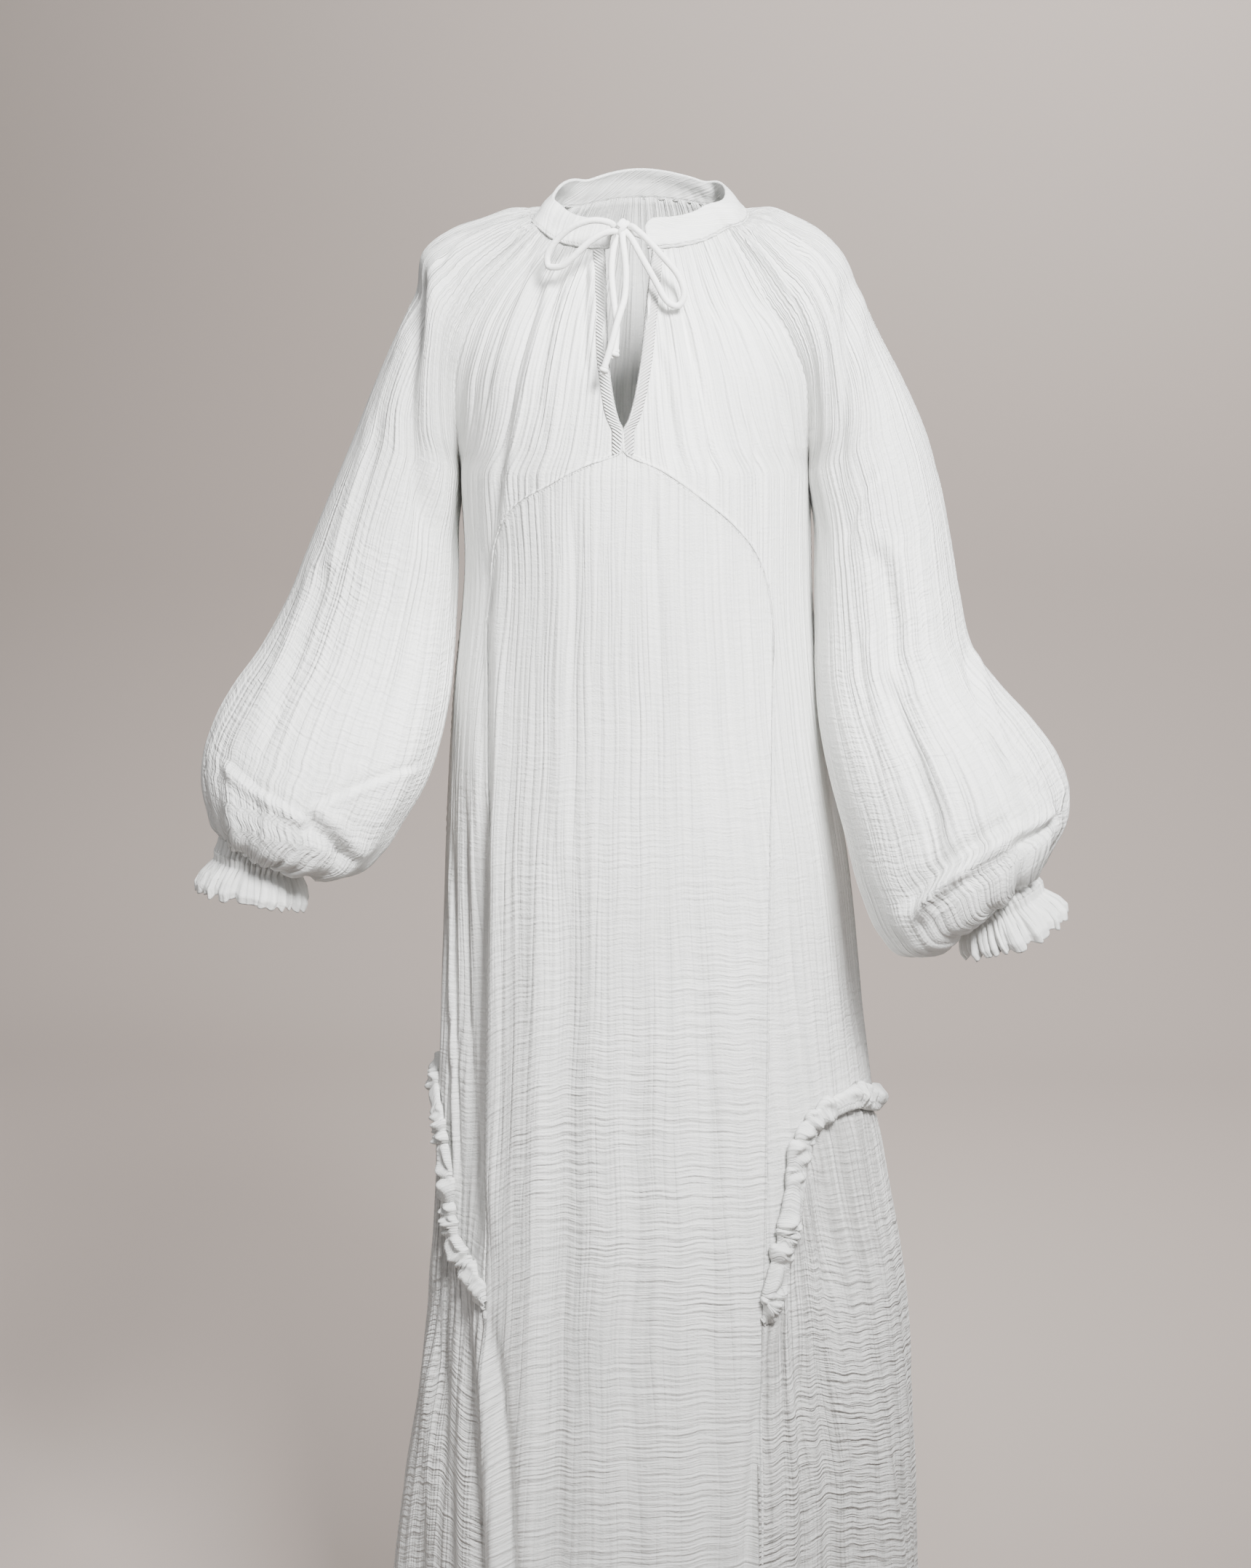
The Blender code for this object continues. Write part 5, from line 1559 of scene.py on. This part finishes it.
def math_node(tree, operation, first, second=None, third=None, clamp=False):
    """A math node whose inputs are sockets or numbers."""
    node = tree.nodes.new("ShaderNodeMath")
    node.operation = operation
    node.use_clamp = clamp
    for socket, value in zip(node.inputs, (first, second, third)):
        if isinstance(value, (int, float)):
            socket.default_value = value
        elif value is not None:
            tree.links.new(value, socket)
    return node.outputs[0]


def scaled_noise(tree, place, scale, detail, roughness=0.5):
    """Noise read from a place that is stretched by a scale for each direction."""
    mapping = tree.nodes.new("ShaderNodeMapping")
    mapping.inputs["Scale"].default_value = scale
    tree.links.new(place, mapping.inputs["Vector"])
    noise = tree.nodes.new("ShaderNodeTexNoise")
    noise.inputs["Scale"].default_value = 1.0
    noise.inputs["Detail"].default_value = detail
    noise.inputs["Roughness"].default_value = roughness
    tree.links.new(mapping.outputs["Vector"], noise.inputs["Vector"])
    return noise.outputs["Fac"]


def crinkle_group():
    """Crinkles of double muslin: long ones down the cloth, cross ones where weft is high, and a
    painted shade that is strongest in their troughs.
    """
    group, given, result = new_group(
        "crinkle",
        (("Place", "NodeSocketVector", None), ("Weft", "NodeSocketFloat", 0.0)),
        (("Height", "NodeSocketFloat"), ("Painted_shade", "NodeSocketFloat")),
    )
    calc = partial(math_node, group)
    place, weft = given.outputs["Place"], given.outputs["Weft"]
    bend = scaled_noise(group, place, (8.0, 5.0, 1.0), 1.0)
    sides = group.nodes.new("ShaderNodeSeparateXYZ")
    group.links.new(place, sides.inputs[0])
    across = calc("MULTIPLY_ADD", bend, 0.010, sides.outputs["X"])
    swell = calc("SINE", calc("MULTIPLY", across, SWELL_RATE))
    drooped = calc("MULTIPLY_ADD", swell, 0.0007, sides.outputs["Y"])
    drooped = calc("MULTIPLY_ADD", bend, 0.024, drooped)
    where = group.nodes.new("ShaderNodeCombineXYZ")
    group.links.new(across, where.inputs["X"])
    group.links.new(drooped, where.inputs["Y"])
    long_lines = puffed(group, scaled_noise(group, where.outputs[0], (165.0, 3.4, 1.0), 1.5))
    broad_lines = scaled_noise(group, where.outputs[0], (48.0, 1.8, 1.0), 1.0)
    cross_lines = scaled_noise(group, where.outputs[0], (30.0, 265.0, 1.0), 1.5)
    patches = scaled_noise(group, place, (12.0, 9.0, 1.0), 1.0)
    grain = scaled_noise(group, place, (620.0, 620.0, 1.0), 2.0, 0.6)
    patchy = calc("MULTIPLY_ADD", patches, 1.6, 0.2)
    cross_part = calc("MULTIPLY", weft, patchy, clamp=True)
    long_part = calc("MULTIPLY_ADD", cross_part, -0.45, 1.0)
    lines = calc("MULTIPLY", long_lines, long_part)
    lines = calc("MULTIPLY_ADD", broad_lines, 0.8, lines)
    crossed = calc("MULTIPLY", cross_lines, 2.7)
    crossed = calc("MULTIPLY", crossed, cross_part)
    swollen = calc("MULTIPLY", swell, cross_part)
    both = calc("ADD", lines, crossed)
    both = calc("MULTIPLY_ADD", swollen, 0.35, both)
    height = calc("MULTIPLY_ADD", grain, 0.45, both)
    group.links.new(height, result.inputs["Height"])
    # Painted shade: strongest in the crinkles' troughs, and stronger where weft is high
    trough = calc("MULTIPLY_ADD", both, -0.7, 1.25, clamp=True)
    trough = calc("MULTIPLY_ADD", weft, 0.35, trough)
    group.links.new(trough, result.inputs["Painted_shade"])
    return group


def puffed(tree, noise):
    """Soft puffs with narrow valleys between them, from a noise."""
    apart = math_node(tree, "ABSOLUTE", math_node(tree, "SUBTRACT", noise, 0.5))
    risen = math_node(tree, "MULTIPLY", apart, 5.0, clamp=True)
    return math_node(tree, "POWER", risen, 0.8)


def stitch_group():
    """A row of short stitches at a set distance from a seam, from the seam's own map."""
    group, given, result = new_group(
        "stitches",
        (
            ("Seam", "NodeSocketVector", None),
            ("Distance", "NodeSocketFloat", 0.002),
            ("Pitch", "NodeSocketFloat", 0.0028),
        ),
        (("Thread", "NodeSocketFloat"), ("Groove", "NodeSocketFloat")),
    )
    calc = partial(math_node, group)
    parts = group.nodes.new("ShaderNodeSeparateXYZ")
    group.links.new(given.outputs["Seam"], parts.inputs[0])
    along = calc("DIVIDE", parts.outputs["X"], given.outputs["Pitch"])
    dash = calc("PINGPONG", along, 0.5)
    dash = calc("MULTIPLY_ADD", dash, 6.0, -0.7, clamp=True)
    apart = calc("SUBTRACT", parts.outputs["Y"], given.outputs["Distance"])
    apart = calc("ABSOLUTE", apart)
    near = calc("MULTIPLY_ADD", apart, -2200.0, 1.5, clamp=True)
    groove = calc("MULTIPLY_ADD", apart, -900.0, 1.0, clamp=True)
    group.links.new(calc("MULTIPLY", dash, near), result.inputs["Thread"])
    group.links.new(groove, result.inputs["Groove"])
    return group


def base_material(name, colour):
    """Dry cloth of one colour with a little sheen."""
    material = bpy.data.materials.new(name)
    material.use_nodes = True
    shader = material.node_tree.nodes["Principled BSDF"]
    shader.inputs["Base Color"].default_value = (*colour, 1.0)
    shader.inputs["Roughness"].default_value = 0.92
    shader.inputs["Metallic"].default_value = 0.0
    shader.inputs["Specular IOR Level"].default_value = 0.25
    shader.inputs["Sheen Weight"].default_value = 0.10
    shader.inputs["Sheen Roughness"].default_value = 0.55
    return material, material.node_tree, shader


def map_node(tree, name):
    """The places of one of a piece's maps."""
    node = tree.nodes.new("ShaderNodeUVMap")
    node.uv_map = name
    return node.outputs["UV"]


def bumped(tree, height, distance, onto=None):
    """A normal that follows a height, on top of another normal where there is one."""
    bump = tree.nodes.new("ShaderNodeBump")
    bump.inputs["Distance"].default_value = distance
    tree.links.new(height, bump.inputs["Height"])
    if onto is not None:
        tree.links.new(onto, bump.inputs["Normal"])
    return bump.outputs["Normal"]


def two_coloured(tree, shader, base_colour, painted_shade, factor):
    """Gives a shader a colour between its own colour and a painted shade, more of the painted shade
    where the factor is high.
    """
    mix = tree.nodes.new("ShaderNodeMix")
    mix.data_type = "RGBA"
    mix.inputs["A"].default_value = (*base_colour, 1.0)
    mix.inputs["B"].default_value = (*painted_shade, 1.0)
    tree.links.new(factor, mix.inputs["Factor"])
    tree.links.new(mix.outputs["Result"], shader.inputs["Base Color"])


def muslin(name, groups, depth, stitched_at, painted_shade):
    """White crinkled muslin whose crinkle troughs are darkened with painted shade, with a row of
    stitches where the piece has one.
    """
    material, tree, shader = base_material(name, COTTON_LIGHT)
    crinkle = tree.nodes.new("ShaderNodeGroup")
    crinkle.node_tree = groups["crinkle"]
    weft = tree.nodes.new("ShaderNodeAttribute")
    weft.attribute_name = "weft"
    tree.links.new(map_node(tree, "cut"), crinkle.inputs["Place"])
    tree.links.new(weft.outputs["Fac"], crinkle.inputs["Weft"])
    # Painted shade darkens the cloth's colour in its crinkle troughs
    two_coloured(tree, shader, COTTON_LIGHT, painted_shade, crinkle.outputs["Painted_shade"])
    relief = bumped(tree, crinkle.outputs["Height"], depth)
    if stitched_at is not None:
        stitches = tree.nodes.new("ShaderNodeGroup")
        stitches.node_tree = groups["stitches"]
        stitches.inputs["Distance"].default_value = stitched_at
        tree.links.new(map_node(tree, "seam"), stitches.inputs["Seam"])
        raised = math_node(tree, "SUBTRACT", stitches.outputs["Thread"], stitches.outputs["Groove"])
        relief = bumped(tree, raised, 0.0006, relief)
    tree.links.new(relief, shader.inputs["Normal"])
    return material


def bias_cotton():
    """Bias strip with fine diagonal ribs, their grooves darkened with painted shade."""
    material, tree, shader = base_material("bias_strip", BIAS_LIGHT)
    calc = partial(math_node, tree)
    place = map_node(tree, "cut")
    parts = tree.nodes.new("ShaderNodeSeparateXYZ")
    tree.links.new(place, parts.inputs[0])
    slant = calc("MULTIPLY_ADD", parts.outputs["Y"], 0.75, parts.outputs["X"])
    wobble = scaled_noise(tree, place, (90.0, 90.0, 1.0), 1.0)
    ribs = calc("MULTIPLY", slant, 2 * math.pi * BINDING_RIBS)
    rib = calc("SINE", calc("MULTIPLY_ADD", wobble, 2.4, ribs))
    grain = scaled_noise(tree, place, (1300.0, 1300.0, 1.0), 1.0)
    height = calc("MULTIPLY_ADD", grain, 0.4, rib)
    # Painted shade in the grooves between the ribs
    painted_rib_shade = calc("MULTIPLY_ADD", rib, -0.6, 0.3, clamp=True)
    two_coloured(tree, shader, BIAS_LIGHT, BIAS_PAINTED_SHADE, painted_rib_shade)
    tree.links.new(bumped(tree, height, 0.0008), shader.inputs["Normal"])
    return material


def cord_cotton():
    """Fine crinkled cloth of the bias cords."""
    material, tree, shader = base_material("bias_cord", BIAS_LIGHT)
    place = tree.nodes.new("ShaderNodeTexCoord").outputs["Object"]
    ribs = scaled_noise(tree, place, (420.0, 420.0, 420.0), 2.0)
    grain = scaled_noise(tree, place, (1500.0, 1500.0, 1500.0), 1.0)
    height = math_node(tree, "MULTIPLY_ADD", grain, 0.4, ribs)
    tree.links.new(bumped(tree, height, 0.0004), shader.inputs["Normal"])
    return material


# Room, light and camera


def pale_room():
    """A pale floor that curves up into a wall far behind."""
    profile = [(FLOOR_FRONT, 0.0), (FLOOR_BACK, 0.0)]
    for step in range(1, FLOOR_BENDS + 1):
        turn = math.radians(90 * step / FLOOR_BENDS)
        back = FLOOR_BACK + FLOOR_BEND * math.sin(turn)
        profile.append((back, FLOOR_BEND * (1 - math.cos(turn))))
    profile.append((FLOOR_BACK + FLOOR_BEND, ROOM_WALL_TOP))
    bpy.ops.object.select_all(action="DESELECT")
    bpy.ops.mesh.primitive_grid_add(x_subdivisions=1, y_subdivisions=len(profile) - 1, size=1.0)
    floor = bpy.context.object
    floor.name = "pale_floor"
    rows = sorted(range(len(floor.data.vertices)), key=lambda i: floor.data.vertices[i].co.y)
    for order, index in enumerate(rows):
        vertex = floor.data.vertices[index]
        y, z = profile[order // 2]
        wide = math.copysign(FLOOR_HALF, vertex.co.x)
        vertex.co = (wide, y, HEM_Z - FLOOR_BELOW_HEM + z)
    floor.data.shade_smooth()
    material, _, shader = base_material("pale_floor", BACKDROP)
    shader.inputs["Roughness"].default_value = 0.9
    shader.inputs["Sheen Weight"].default_value = 0.0
    floor.data.materials.append(material)


def softbox(name, place, aim, size, power, spread):
    """A soft area light at a place, turned to what it lights."""
    data = bpy.data.lights.new(name, "AREA")
    data.shape = "RECTANGLE"
    data.size, data.size_y = size
    data.energy = power
    data.spread = math.radians(spread)
    lamp = in_scene(name, data)
    lamp.location = place
    way = unit(np.array(aim) - np.array(place))
    lamp.rotation_euler = (math.acos(-way[2]), 0.0, math.atan2(way[0], -way[1]) + math.pi)


def lights():
    """The room's even light and the soft lights in it."""
    world = bpy.data.worlds.new("soft_room")
    world.use_nodes = True
    room = world.node_tree.nodes["Background"]
    room.inputs["Color"].default_value = (*ROOM_COLOUR, 1.0)
    room.inputs["Strength"].default_value = ROOM_STRENGTH
    bpy.context.scene.world = world
    for name, settings in LIGHTS.items():
        softbox(name, *settings)


def camera():
    """The camera that saw the photo."""
    data = bpy.data.cameras.new("photo_view")
    data.lens = CAMERA_LENS
    data.sensor_width = CAMERA_SENSOR
    data.clip_end = CAMERA_SEES
    made = in_scene("photo_view", data)
    made.location = CAMERA_PLACE
    made.rotation_euler = (math.radians(90 - CAMERA_PITCH), 0.0, math.radians(CAMERA_TURN))
    bpy.context.scene.camera = made


def dress():
    """Every piece of the dress with its material."""
    groups = {"crinkle": crinkle_group(), "stitches": stitch_group()}
    cord = cord_cotton()
    tips = {name: tip_knot(name, cord) for name in TIE_TIPS}
    bow_knot(cord)
    for side, route in (("right", TIE_RIGHT), ("left", TIE_LEFT)):
        nodes = ["tie_" + part + "_" + side for part in ("root", "loop", "end")]
        tie("tie_" + side, route, nodes, cord)
    cloths = {name: muslin("muslin_" + name, groups, *look) for name, look in MUSLINS.items()}
    binding = bias_cotton()
    middle_front(cloths["panel"])
    whole_back(cloths["body"])
    neck_band(cloths["band"])
    for side in (-1, 1):
        side_front(side, cloths["body"])
        flounce(side, cloths["flounce"])
        sleeve(side, cloths["sleeve"])
        cuff(side, cloths["frill"])
        ruffle(side, cloths["frill"])
        slit_binding(side, binding)


camera()
pale_room()
lights()
dress()
